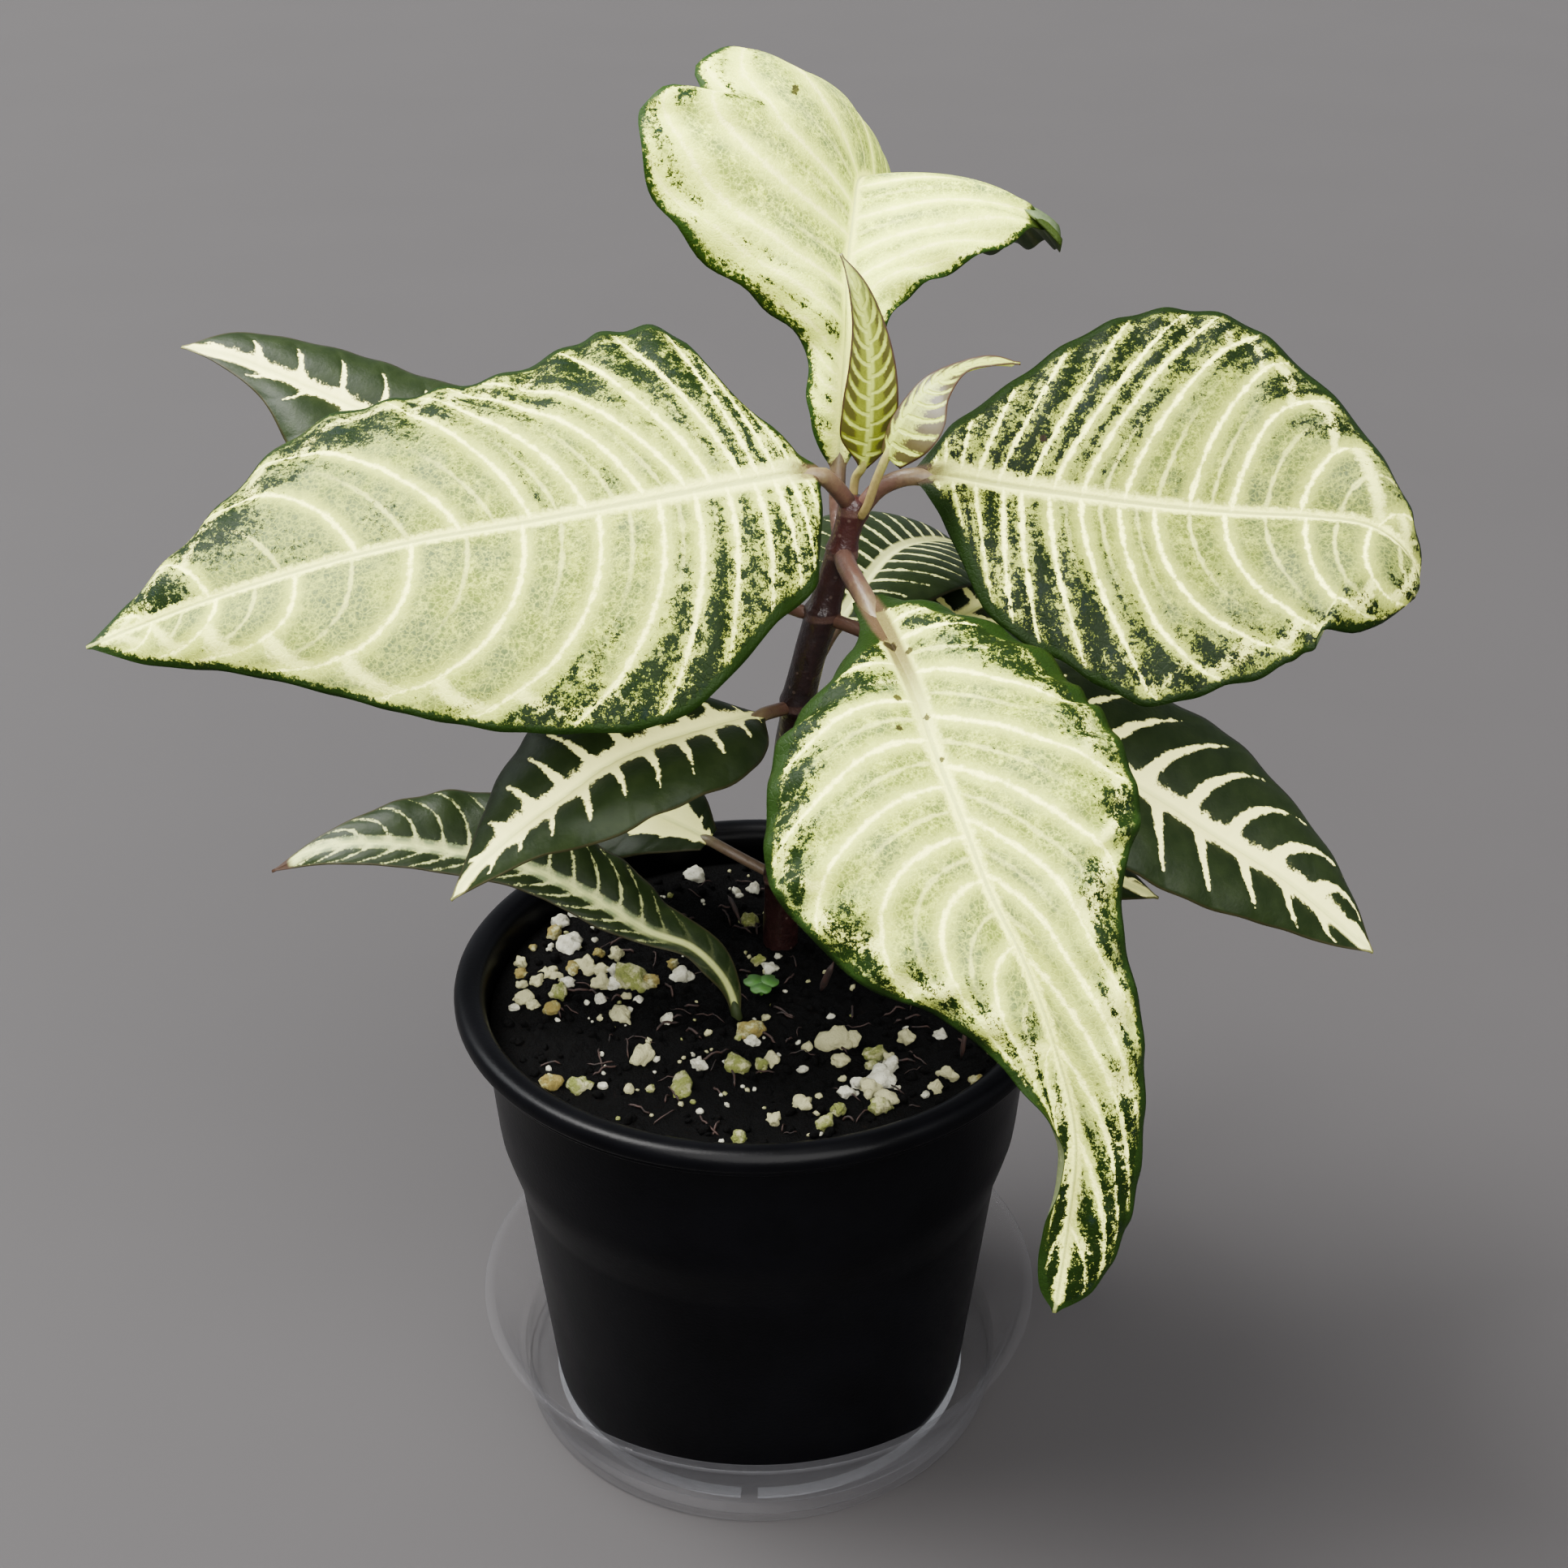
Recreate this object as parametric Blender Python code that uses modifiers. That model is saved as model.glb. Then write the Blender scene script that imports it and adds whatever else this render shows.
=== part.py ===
# Potted zebra plant: a leafy stem in a round plastic pot that stands on a clear saucer.
# Blender units are metres with +Z up. The values below are in millimetres and MM scales them.
# The origin lies on the surface that the saucer stands on, under the axis of the pot.
import math
import random

import bmesh
import bpy
import numpy as np
from mathutils import Euler, Matrix, Vector, noise

MM = 0.001
GAP = 0.3
SHARP_ANGLE = math.radians(40.0)

# Turned pieces are (radius, height) profiles, down the outer side and back up the inner side.
TURN_STEPS = 40
POT_PROFILE = [
    (57.8, 100.8), (59.6, 100.2), (60.3, 99.0), (60.3, 96.4), (59.0, 95.6),
    (55.3, 94.6), (54.2, 82.0), (53.2, 69.0), (51.8, 62.5), (49.9, 56.5), (44.3, 3.4),
    (43.0, 1.5), (38.0, 1.5), (36.5, 2.5), (0.0, 2.5), (0.0, 4.0), (41.8, 4.0),
    (43.2, 5.2), (48.8, 56.7), (50.7, 62.9), (52.1, 69.3), (53.1, 82.2), (54.0, 95.5),
    (54.4, 98.6), (55.6, 100.3),
]
SAUCER_PROFILE = [
    (58.2, 22.9), (59.1, 22.6), (59.1, 21.9), (57.9, 21.7), (52.4, 7.2),
    (51.3, 6.4), (51.2, 1.0), (50.2, 0.0), (0.0, 0.0), (0.0, 1.2), (49.6, 1.2),
    (50.2, 1.8), (50.3, 6.9), (51.3, 7.9), (57.0, 22.7),
]
SOIL_TOP = 93.2
SOIL_PROFILE = [
    (53.5, 92.6), (52.8, 82.3), (51.8, 69.4), (50.4, 63.0), (48.5, 56.8), (42.9, 5.4),
    (41.6, 4.3), (0.0, 4.3), (0.0, 93.2), (7.5, 93.2), (15.0, 93.2), (25.5, 93.2),
    (35.0, 93.2), (44.0, 93.2), (50.5, 92.9),
]
SOIL_RELIEF = 1.1
SOIL_RELIEF_SIZE = 13.0
SOIL_RELIEF_EDGE = 51.0

DRAIN_HOLES = 6
DRAIN_RADIUS = 3.4
DRAIN_RING = 31.0

# Perlite grains that lie in the soil: x, y and radius
GRAINS = [
    (-14, 46, 2.1), (-4, 42, 1.8), (-4, 29, 2.2), (-42, 26, 2.1), (-40, 18, 2.7),
    (-46, 7, 2.3), (-30, 16, 2.0), (-38, 10, 2.3), (-46, -4, 1.9), (-28, 6, 3.6),
    (-32, -3, 1.9), (-16, 8, 2.3), (-2, -13, 1.9), (-21, -21, 1.7), (17, -16, 3.4),
    (24, -21, 2.9), (20, -31, 2.6), (27, -32, 2.5), (35, -28, 2.2), (41, -24, 1.8),
    (-5, -24, 2.2), (6, -19, 1.7), (-14, -28, 2.5), (-38, -27, 1.7), (14, -42, 1.7),
    (-4, -43, 2.1), (34, 14, 2.4), (24, 36, 2.2), (40, 22, 1.9), (-26, 38, 2.0),
]
GRAIN_SEED = 7

# The stem's axis from the root end to the growing tip: x, y, z and radius, with swollen nodes
STEM_PATH = [
    (4.7, 20, 78, 3.6), (4.7, 20, 96, 3.7), (4.8, 18, 109, 3.5), (4.9, 17.3, 111.5, 3.9),
    (5.1, 16.5, 114, 3.5), (5.4, 13, 129, 3.4), (5.6, 12, 132, 3.8), (5.9, 11, 135, 3.4),
    (7.0, 6.5, 148, 3.3), (7.9, 4.6, 155.5, 3.3), (8.2, 4, 158, 3.8), (8.5, 3.6, 160.5, 3.2),
    (10.6, 3, 170, 3.1), (12, 3, 175, 3.2), (12.5, 3, 177, 3.6), (13.2, 3, 179.5, 2.9),
    (15.2, 3, 187, 2.8), (15.9, 3, 189.3, 3.2), (16.3, 3, 191.5, 2.7), (17.2, 3, 195, 2.6),
    (17.9, 3, 197.6, 3.0), (18.5, 3, 200, 2.2),
]

# A leaf is a row of stations from its root in the stem to its tip. Each station is
# x, y, z of the midrib and the widths of the left and right halves, seen from the root.
# face is the way the blade looks at its root and at its tip, lift is how many degrees each
# half rises above that, arch is how far each half bulges, and wave is the margin's ripple.
# A curl bends the margin of one half (0 left, 1 right): half, place, spread and depth.
BLADE_HALF = 0.34
LEAVES = {
    "leaf_left": dict(
        stations=[
            (17.5, 3, 198, 0, 0), (14.5, 0, 203, 0, 0), (12, -2, 206, 1, 1),
            (8, -4, 207, 17, 8), (-2, -8, 207, 26, 36), (-20, -12, 205, 39, 42),
            (-39, -14, 202, 38, 36.5), (-57, -16, 199.5, 33, 35), (-74, -17, 195.5, 25, 33.5),
            (-93, -19, 190, 14, 18.5), (-108, -20, 184.5, 6.5, 6), (-116, -21, 181.5, 0, 0),
        ],
        face=((0.05, -0.62, 0.78), (0, -0.62, 0.78)), lift=(-10, -13), arch=(3, 3),
        petiole=1.6, rows=22, columns=10, wave=1.2, phase=0.4,
    ),
    "leaf_right": dict(
        stations=[
            (18.6, 2.6, 196.8, 0, 0), (22.6, 2.2, 202, 0, 0), (28.3, 1, 204.7, 1, 1),
            (33.7, 0, 205, 10, 7.5), (45, -1, 203.5, 23, 26), (58, -2, 202, 35, 33),
            (72, -3, 200.5, 41, 38.5), (86, -5, 200, 38, 34), (98, -8, 200.5, 25, 29),
            (107, -12, 200.5, 12, 22), (112.3, -14, 197.5, 6, 13), (116.5, -12, 190.5, 3, 7),
            (117.5, -7, 184, 0, 0),
        ],
        face=((0.05, -0.62, 0.78), (0.45, -0.62, 0.6)), lift=(0, 0), arch=(3, 3),
        petiole=1.6, rows=22, columns=10, wave=1.2, phase=1.9,
    ),
    "leaf_back": dict(
        stations=[
            (15.9, 3.5, 189.5, 0, 0), (15.2, 9.5, 194.5, 0, 0), (15.2, 12, 201, 1, 1),
            (15.6, 12.6, 206.5, 4.5, 3), (15.7, 15, 213, 6.5, 4.6), (16.3, 20, 221.7, 8, 6.5),
            (16.6, 24, 227.3, 18, 9), (16.8, 29, 232.5, 33, 17), (18, 38, 240.5, 44.5, 31),
            (19.4, 49, 245, 34.5, 39), (25, 67, 238, 25.5, 35.5), (28, 87, 226, 17, 23),
            (30, 106, 207, 0, 0),
        ],
        lifts=[(20, 20), (20, 20), (20, 20), (20, 20), (20, 20), (18, 14), (18, 10), (22, 6),
               (32, 0), (38, -3), (40, -5), (40, -8), (30, 0)],
        face=((0, -0.85, 0.5), (0.05, 0.5, 0.85)), lift=(0, 0), arch=(6.5, 3),
        petiole=1.5, rows=22, columns=10, wave=1.0, phase=0.8, curls=[(1, 0.7, 0.12, -6)],
    ),
    "leaf_front": dict(
        stations=[
            (15.9, 2.5, 189.3, 0, 0), (17, -4, 188.6, 0, 0), (19.8, -11, 186.2, 1, 1),
            (22.6, -19, 184, 11, 2.5), (27.2, -34, 180, 24, 21), (30, -46, 175.5, 28, 28.5),
            (34.3, -58, 168.3, 29, 33), (38.5, -67, 160, 26, 27.5), (43.8, -74, 151.4, 17, 18.5),
            (48.8, -80, 139, 14.5, 8.5), (52.6, -84, 124, 9.5, 5), (52, -87, 108, 7, 4),
            (50.4, -90, 92, 0, 0),
        ],
        face=((0, -0.5, 0.87), (-0.1, -0.98, 0.1)), lift=(-4, 0), arch=(4, 4),
        petiole=1.9, rows=22, columns=10, wave=1.0, phase=2.6,
    ),
    "leaf_upper_left": dict(
        stations=[
            (12.4, 3, 176.5, 0, 0), (7.5, 4.5, 177, 0, 0), (0, 12, 178, 1, 1),
            (-20, 25, 183, 15, 14), (-46, 38, 189.6, 22.5, 22), (-69, 47, 196, 22, 14.5),
            (-82, 51, 200.4, 17, 13), (-95.5, 55, 205, 6.6, 10), (-107, 58, 208.3, 2.4, 6),
            (-115, 60, 209, 0, 0),
        ],
        face=((0, -0.45, 0.87), (0, -0.45, 0.87)), lift=(0, 0), arch=(2, 2),
        petiole=1.3, rows=14, columns=8, wave=0.8, phase=0.2,
    ),
    "leaf_lower_right": dict(
        stations=[
            (12.6, 3, 176.3, 0, 0), (18.2, -1, 175.9, 0, 0), (26.7, -5, 173.5, 1, 1),
            (38.6, -7, 166.2, 9, 8), (55.3, -9, 156.3, 20, 18), (72.7, -11, 147, 22, 18),
            (85.7, -12, 138.3, 24, 16), (99.7, -13, 129, 18, 11), (111, -14, 119.6, 8.3, 5),
            (118, -15, 114, 0, 0),
        ],
        face=((0.1, -0.45, 0.87), (0.1, -0.45, 0.87)), lift=(0, 0), arch=(2, 2),
        petiole=1.3, rows=14, columns=8, wave=0.8, phase=1.2,
    ),
    "leaf_lower_left": dict(
        stations=[
            (8.2, 4, 157.5, 0, 0), (3.5, 0, 158.2, 0, 0), (1.2, -3, 159, 1, 1),
            (-3.7, -8, 160.4, 9.6, 8), (-9.8, -13, 161, 14.5, 12), (-18, -19, 161.2, 15.7, 14),
            (-25.7, -24, 159.8, 15.3, 17), (-32.8, -28, 156, 13.3, 16.6),
            (-40.3, -31, 151.3, 8, 12.4), (-48.6, -34, 144.8, 4, 4), (-53.7, -36, 139, 0, 0),
        ],
        face=((-0.1, -0.35, 0.93), (-0.1, -0.35, 0.93)), lift=(0, 0), arch=(2, 2),
        petiole=1.3, rows=14, columns=8, wave=0.8, phase=2.2,
    ),
    "leaf_back_right": dict(
        stations=[
            (8.2, 4.2, 158, 0, 0), (11.5, 11, 163, 0, 0), (15, 19, 166, 1, 1),
            (21, 33, 169, 13, 13), (28, 48, 170, 19, 19), (37, 62, 166, 13, 13),
            (47, 76, 158, 0, 0),
        ],
        face=((0, -0.3, 0.95), (0, -0.3, 0.95)), lift=(0, 0), arch=(2, 2),
        petiole=1.3, rows=12, columns=8, wave=0.8, phase=0.9,
    ),
    "leaf_back_low": dict(
        stations=[
            (5.6, 12, 131.5, 0, 0), (12, 17, 137.5, 0, 0), (19, 23, 143, 1, 1),
            (30, 35, 151, 12, 12), (43, 48, 156, 17, 17), (55, 59, 156, 11, 11),
            (66, 68, 151, 0, 0),
        ],
        face=((0, -0.3, 0.95), (0, -0.3, 0.95)), lift=(0, 0), arch=(2, 2),
        petiole=1.2, rows=12, columns=8, wave=0.8, phase=1.7,
    ),
    "leaf_low_back_left": dict(
        stations=[
            (4.9, 17.5, 110.5, 0, 0), (0, 18, 113.2, 0, 0), (-5.5, 19, 116, 0, 0),
            (-10, 21, 117.7, 3, 3), (-16.5, 26, 118.5, 9, 9), (-24.4, 32, 118.8, 14, 14),
            (-33.5, 40, 118.4, 11, 11), (-41, 46, 118, 0, 0),
        ],
        face=((-0.1, -0.4, 0.9), (-0.1, -0.4, 0.9)), lift=(0, 0), arch=(1.5, 1.5),
        petiole=1.1, rows=12, columns=8, wave=0.6, phase=0.5,
    ),
    "leaf_low_left": dict(
        stations=[
            (-3, -6, 84, 0, 0), (-4, -6, 93, 0, 0), (-5.5, -6, 99.5, 0, 0),
            (-8.5, -6, 104.9, 0, 0), (-13, -5, 108.8, 1, 2), (-21, -4, 111.6, 3, 7.5),
            (-28.8, -3, 116.6, 5, 10), (-36.6, -2, 121, 5, 11), (-46, -1, 125, 5, 13),
            (-58.6, 0, 127.4, 5, 14), (-71, 0, 129.3, 5, 9.4), (-83.6, 0, 128.6, 4, 3),
            (-94.5, 0, 123, 0, 0),
        ],
        face=((0, -0.5, 0.87), (0, -0.5, 0.87)), lift=(0, 0), arch=(1.5, 1.5),
        petiole=1.1, rows=16, columns=8, wave=0.6, phase=1.4,
    ),
    "leaf_low_right": dict(
        stations=[
            (4.9, 17.2, 112, 0, 0), (12, 13.5, 114.5, 0, 0), (20, 10, 117, 1, 1),
            (34, 5, 124, 9, 9), (50, 1, 127, 13, 13), (65, -3, 125, 8, 8), (78, -5, 120, 0, 0),
        ],
        face=((0, -0.3, 0.95), (0, -0.3, 0.95)), lift=(0, 0), arch=(1.5, 1.5),
        petiole=1.1, rows=12, columns=8, wave=0.6, phase=2.0,
    ),
    "young_leaf_upright": dict(
        stations=[
            (17.9, 4.9, 197, 0, 0), (18.2, 4.5, 202.8, 0, 0), (19.4, 3.1, 205.6, 0.9, 0.9),
            (20.3, 1.8, 211.4, 5, 4), (20.4, 0.8, 217.7, 5, 5), (20.4, 0.6, 225.1, 4, 4.4),
            (19.5, 1, 232.3, 2.6, 3.2), (17.4, 1.5, 239, 1.2, 2), (15, 3, 244, 0, 0),
        ],
        face=((0, -0.95, 0.3), (0, -0.95, 0.3)), lift=(12, 12), arch=(0.4, 0.4),
        petiole=0.8, rows=10, columns=8, wave=0.2, phase=0.0,
    ),
    "young_leaf_arching": dict(
        stations=[
            (19, 1, 196.6, 0, 0), (20.2, -1, 199.8, 0, 0), (21.5, -2.7, 204.9, 0, 0),
            (23.3, -3.9, 210.3, 1.5, 4), (25, -4.4, 215.4, 2.1, 8), (27.8, -3.4, 219.5, 2.2, 7.8),
            (31.2, -1.8, 222.6, 2.2, 4.4), (36.9, 1, 224.7, 1.5, 1), (41.8, 2, 225.4, 1.2, 0.9),
            (46.5, 3, 224.7, 0, 0),
        ],
        face=((-0.6, -0.6, 0.5), (-0.3, -0.6, 0.7)), lift=(0, 0), arch=(0.3, 0.5),
        petiole=0.8, rows=10, columns=8, wave=0.2, phase=0.6,
    ),
}
WAVE_LENGTH = 24.0
TIP_WIDTH = 0.5

# A clover seedling: three round leaflets on one thread-like stalk
SEEDLING_FOOT = (1.0, 2.0, 89.0)
SEEDLING_HEAD = (0.8, 0.9, 95.9)
SEEDLING_STALK = 0.4
LEAFLET_RADIUS = 2.0
LEAFLET_HALF = 0.35
LEAFLET_SINK = 1.7
LEAFLET_SIDES = 10

# Colour, roughness and metallic value of each finish
FINISHES = {
    "black_plastic": ((0.010, 0.010, 0.012), 0.32, 0.0),
    "clear_plastic": ((0.62, 0.64, 0.66), 0.12, 0.0),
    "peat": ((0.020, 0.014, 0.010), 0.95, 0.0),
    "bark": ((0.055, 0.018, 0.016), 0.55, 0.0),
    "pale_leaf": ((0.62, 0.70, 0.42), 0.50, 0.0),
    "dark_leaf": ((0.040, 0.105, 0.035), 0.45, 0.0),
    "young_leaf": ((0.48, 0.56, 0.16), 0.50, 0.0),
    "clover": ((0.060, 0.240, 0.030), 0.60, 0.0),
}
PALE_LEAVES = ("leaf_left", "leaf_right", "leaf_back", "leaf_front")


def clear_scene():
    for old in list(bpy.data.objects):
        bpy.data.objects.remove(old, do_unlink=True)


def new_collection(name):
    made = bpy.data.collections.new(name)
    bpy.context.scene.collection.children.link(made)
    return made


def finish(name, kind):
    colour, roughness, metallic = FINISHES[kind]
    made = bpy.data.materials.new(name + "_finish")
    made.use_nodes = True
    shader = made.node_tree.nodes["Principled BSDF"]
    shader.inputs["Base Color"].default_value = (*colour, 1.0)
    shader.inputs["Roughness"].default_value = roughness
    shader.inputs["Metallic"].default_value = metallic
    return made


def add_object(name, mesh, collection, kind=None):
    made = bpy.data.objects.new(name, mesh)
    collection.objects.link(made)
    if kind:
        mesh.materials.append(finish(name, kind))
    return made


def add_cutter(name, mesh):
    made = add_object(name, mesh, cutters)
    made.hide_render = True
    made.display_type = "WIRE"
    return made


def mesh_from_bmesh(name, bm):
    mesh = bpy.data.meshes.new(name)
    bm.to_mesh(mesh)
    bm.free()
    mesh.shade_smooth()
    mesh.set_sharp_from_angle(angle=SHARP_ANGLE)
    return mesh


def cut(target, cutter, operation="DIFFERENCE"):
    step = target.modifiers.new(operation.lower(), "BOOLEAN")
    step.operation = operation
    step.object = cutter


def baked(source, name):
    # The evaluated shape as a mesh with its loose caps and doubles welded
    bpy.context.view_layer.update()
    graph = bpy.context.evaluated_depsgraph_get()
    mesh = bpy.data.meshes.new_from_object(source.evaluated_get(graph))
    mesh.name = name
    bm = bmesh.new()
    bm.from_mesh(mesh)
    bmesh.ops.remove_doubles(bm, verts=bm.verts[:], dist=0.00001)
    bm.to_mesh(mesh)
    bm.free()
    mesh.shade_smooth()
    mesh.set_sharp_from_angle(angle=SHARP_ANGLE)
    bpy.data.objects.remove(source, do_unlink=True)
    return mesh


def turned(name, profile, collection, kind):
    # A closed profile swept once round the Z axis
    mesh = bpy.data.meshes.new(name)
    points = [(radius * MM, 0.0, height * MM) for radius, height in profile]
    edges = [(i, (i + 1) % len(points)) for i in range(len(points))]
    on_axis = [i for i, (radius, _) in enumerate(profile) if radius == 0.0]
    edges = [edge for edge in edges if not (edge[0] in on_axis and edge[1] in on_axis)]
    mesh.from_pydata(points, edges, [])
    made = add_object(name, mesh, collection, kind)
    screw = made.modifiers.new("turn", "SCREW")
    screw.axis = "Z"
    screw.steps = TURN_STEPS
    screw.render_steps = TURN_STEPS
    screw.use_merge_vertices = True
    screw.merge_threshold = 0.00001
    return made


def tube(name, path, extra=0.0, sides=8):
    # A tube along path, whose points are x, y, z and radius
    curve = bpy.data.curves.new(name, "CURVE")
    curve.dimensions = "3D"
    curve.bevel_depth = MM
    curve.bevel_resolution = (sides - 4) // 2
    curve.use_fill_caps = True
    line = curve.splines.new("POLY")
    line.points.add(len(path) - 1)
    for point, (x, y, z, radius) in zip(line.points, path):
        point.co = (x * MM, y * MM, z * MM, 1.0)
        point.radius = radius + extra
    return baked(add_object(name + "_curve", curve, cutters), name)


def lengthened(path):
    # The same path with both of its ends moved out by the gap
    ends = []
    for tip, inner in ((path[0], path[1]), (path[-1], path[-2])):
        out = (Vector(tip[:3]) - Vector(inner[:3])).normalized() * GAP
        ends.append((*(Vector(tip[:3]) + out), tip[3]))
    return [ends[0], *path[1:-1], ends[1]]


def knots_of(points):
    steps = np.linalg.norm(np.diff(points, axis=0), axis=1) ** 0.5
    return np.concatenate([[0.0], np.cumsum(steps)])


def through(knots, values, at):
    # A smooth curve through values at knots, read at the parameter at
    last = len(knots) - 1
    slopes = np.zeros_like(values)
    slopes[0] = (values[1] - values[0]) / (knots[1] - knots[0])
    slopes[last] = (values[last] - values[last - 1]) / (knots[last] - knots[last - 1])
    for i in range(1, last):
        before = knots[i] - knots[i - 1]
        after = knots[i + 1] - knots[i]
        rise = (values[i] - values[i - 1]) / before * after
        run = (values[i + 1] - values[i]) / after * before
        slopes[i] = (rise + run) / (before + after)
    i = int(min(max(np.searchsorted(knots, at, side="right") - 1, 0), last - 1))
    span = knots[i + 1] - knots[i]
    t = (at - knots[i]) / span
    near = (2 * t**3 - 3 * t**2 + 1) * values[i] + (t**3 - 2 * t**2 + t) * span * slopes[i]
    far = (3 * t**2 - 2 * t**3) * values[i + 1] + (t**3 - t**2) * span * slopes[i + 1]
    return near + far


def smooth_step(low, high, value):
    t = min(max((value - low) / (high - low), 0.0), 1.0)
    return t * t * (3.0 - 2.0 * t)


class Leaf:
    # The middle surface and the thickness of one leaf with its petiole
    def __init__(self, stations, face, lift, arch, petiole, rows, columns, wave, phase,
                 lifts=None, curls=()):
        table = np.array(stations, float)
        self.spine = table[:, :3]
        self.knots = knots_of(self.spine)
        self.widths = table[:, 3:5]
        self.lifts = np.radians(np.array(lifts or [lift] * len(stations), float))
        self.face = np.array(face, float)
        self.arch = arch
        self.petiole = petiole
        self.rows = rows
        self.columns = columns
        self.wave = wave
        self.phase = phase
        self.curls = curls
        self.seen = {}
        first = int(np.argmax(self.widths.sum(axis=1) > 0.0))
        self.blade_start = self.knots[first] / self.knots[-1]

    def section(self, s):
        # Midrib point, sideways and upward directions, widths and lifts at s from 0 to 1
        if s in self.seen:
            return self.seen[s]
        at = s * self.knots[-1]
        centre = through(self.knots, self.spine, at)
        step = 0.002 * self.knots[-1]
        ahead = through(self.knots, self.spine, min(at + step, self.knots[-1]))
        behind = through(self.knots, self.spine, max(at - step, 0.0))
        along = ahead - behind
        along /= np.linalg.norm(along)
        face = (1.0 - s) * self.face[0] + s * self.face[1]
        side = np.cross(along, face)
        side /= np.linalg.norm(side)
        widths = through(self.knots, self.widths, at)
        lifts = through(self.knots, self.lifts, at)
        self.seen[s] = (centre, side, np.cross(side, along), widths, lifts)
        return self.seen[s]

    def rib(self, s):
        # Radius of the petiole, then of the midrib under the blade
        if s < self.blade_start:
            return self.petiole
        run = (s - self.blade_start) / (1.0 - self.blade_start)
        return self.petiole * (1.0 - run) ** 0.8 + 0.42 * run

    def lateral(self, v, width, rib):
        # Distance from the midrib of column v: round the petiole, or across the blade
        round_petiole = rib * math.sin(abs(v) * math.pi / 2)
        column = abs(v) * self.columns / 2
        outer = max(column - 2.0, 0.0) / (self.columns / 2 - 2.0)
        across = min(column, 2.0) * 0.6 * rib + (width - 1.2 * rib) * outer**1.1
        blend = smooth_step(rib, 3.5 * rib, width)
        return (1.0 - blend) * round_petiole + blend * across

    def middle(self, v, s):
        # Point of the middle surface, distance from the midrib and rib radius
        centre, side, up, widths, lifts = self.section(s)
        half = 0 if v < 0 else 1
        rib = self.rib(s)
        width = max(widths[half], rib, TIP_WIDTH)
        x = self.lateral(v, width, rib)
        q = x / width
        turn = lifts[half] * smooth_step(rib, 2.5 * rib, width)
        sign = -1.0 if v < 0 else 1.0
        outward = sign * side * math.cos(turn) + up * math.sin(turn)
        above = up * math.cos(turn) - sign * side * math.sin(turn)
        fullness = smooth_step(2.0, 14.0, width)
        bulge = self.arch[half] * 4.0 * q * (1.0 - q) * fullness
        travel = s * self.knots[-1] ** 2 / WAVE_LENGTH
        ripple = self.wave * q**2 * math.sin(travel * 1.6 + self.phase + 2.1 * half) * fullness
        curl = sum(
            depth * math.exp(-(((s - at) / spread) ** 2))
            for side_of, at, spread, depth in self.curls if side_of == half
        )
        return centre + outward * x + above * (bulge + ripple + curl * q**4), x, rib

    def point(self, v, s, face_side):
        # Point of the upper or lower skin, half a thickness off the middle surface
        here, x, rib = self.middle(v, s)
        reach = 0.004
        across = self.middle(min(v + reach, 1.0), s)[0] - self.middle(max(v - reach, -1.0), s)[0]
        along = self.middle(v, min(s + reach, 1.0))[0] - self.middle(v, max(s - reach, 0.0))[0]
        normal = np.cross(across, along)
        normal /= np.linalg.norm(normal)
        thick = BLADE_HALF
        if x < rib:
            thick = max(BLADE_HALF, rib * math.sqrt(1.0 - (x / rib) ** 2))
        if face_side > 0 and s > self.blade_start:
            thick = BLADE_HALF + (thick - BLADE_HALF) * 0.3
        return here + normal * thick * face_side


def leaf_mesh(name, values):
    # A flat grid, split alike on both faces, thickened and then laid along the leaf
    leaf = Leaf(**values)
    bm = bmesh.new()
    bmesh.ops.create_grid(bm, x_segments=leaf.columns, y_segments=leaf.rows, size=1.0)
    bmesh.ops.triangulate(bm, faces=bm.faces[:])
    made = bmesh.ops.extrude_face_region(bm, geom=bm.faces[:], use_keep_orig=True)
    for item in made["geom"]:
        if isinstance(item, bmesh.types.BMVert):
            item.co.z = 1.0
    bmesh.ops.recalc_face_normals(bm, faces=bm.faces[:])
    for vert in bm.verts:
        face_side = 1.0 if vert.co.z > 0.5 else -1.0
        vert.co = Vector(leaf.point(vert.co.x, (vert.co.y + 1.0) / 2.0, face_side)) * MM
    return mesh_from_bmesh(name, bm)


def soil_height(x, y):
    # Height of the soil at x and y, even at the wall and uneven inside
    reach = min(max((SOIL_RELIEF_EDGE - math.hypot(x, y)) / 6.0, 0.0), 1.0)
    where = Vector((x, y, 0.0)) / SOIL_RELIEF_SIZE
    return SOIL_TOP + SOIL_RELIEF * reach * noise.noise(where)


def grain(index, x, y, radius):
    # One angular perlite grain, sunk half into the soil
    draw = random.Random(GRAIN_SEED + index)
    bm = bmesh.new()
    bmesh.ops.create_icosphere(bm, subdivisions=1, radius=radius * MM)
    stretch = Matrix.Diagonal((draw.uniform(0.9, 1.2), draw.uniform(0.8, 1.0), 0.8))
    turn = Euler([draw.uniform(0.0, math.tau) for _ in range(3)]).to_matrix()
    bmesh.ops.transform(bm, matrix=(turn @ stretch).to_4x4(), verts=bm.verts[:])
    centre = Vector((x, y, soil_height(x, y) + 0.15 * radius)) * MM
    bmesh.ops.translate(bm, vec=centre, verts=bm.verts[:])
    return mesh_from_bmesh("grain", bm)


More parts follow.
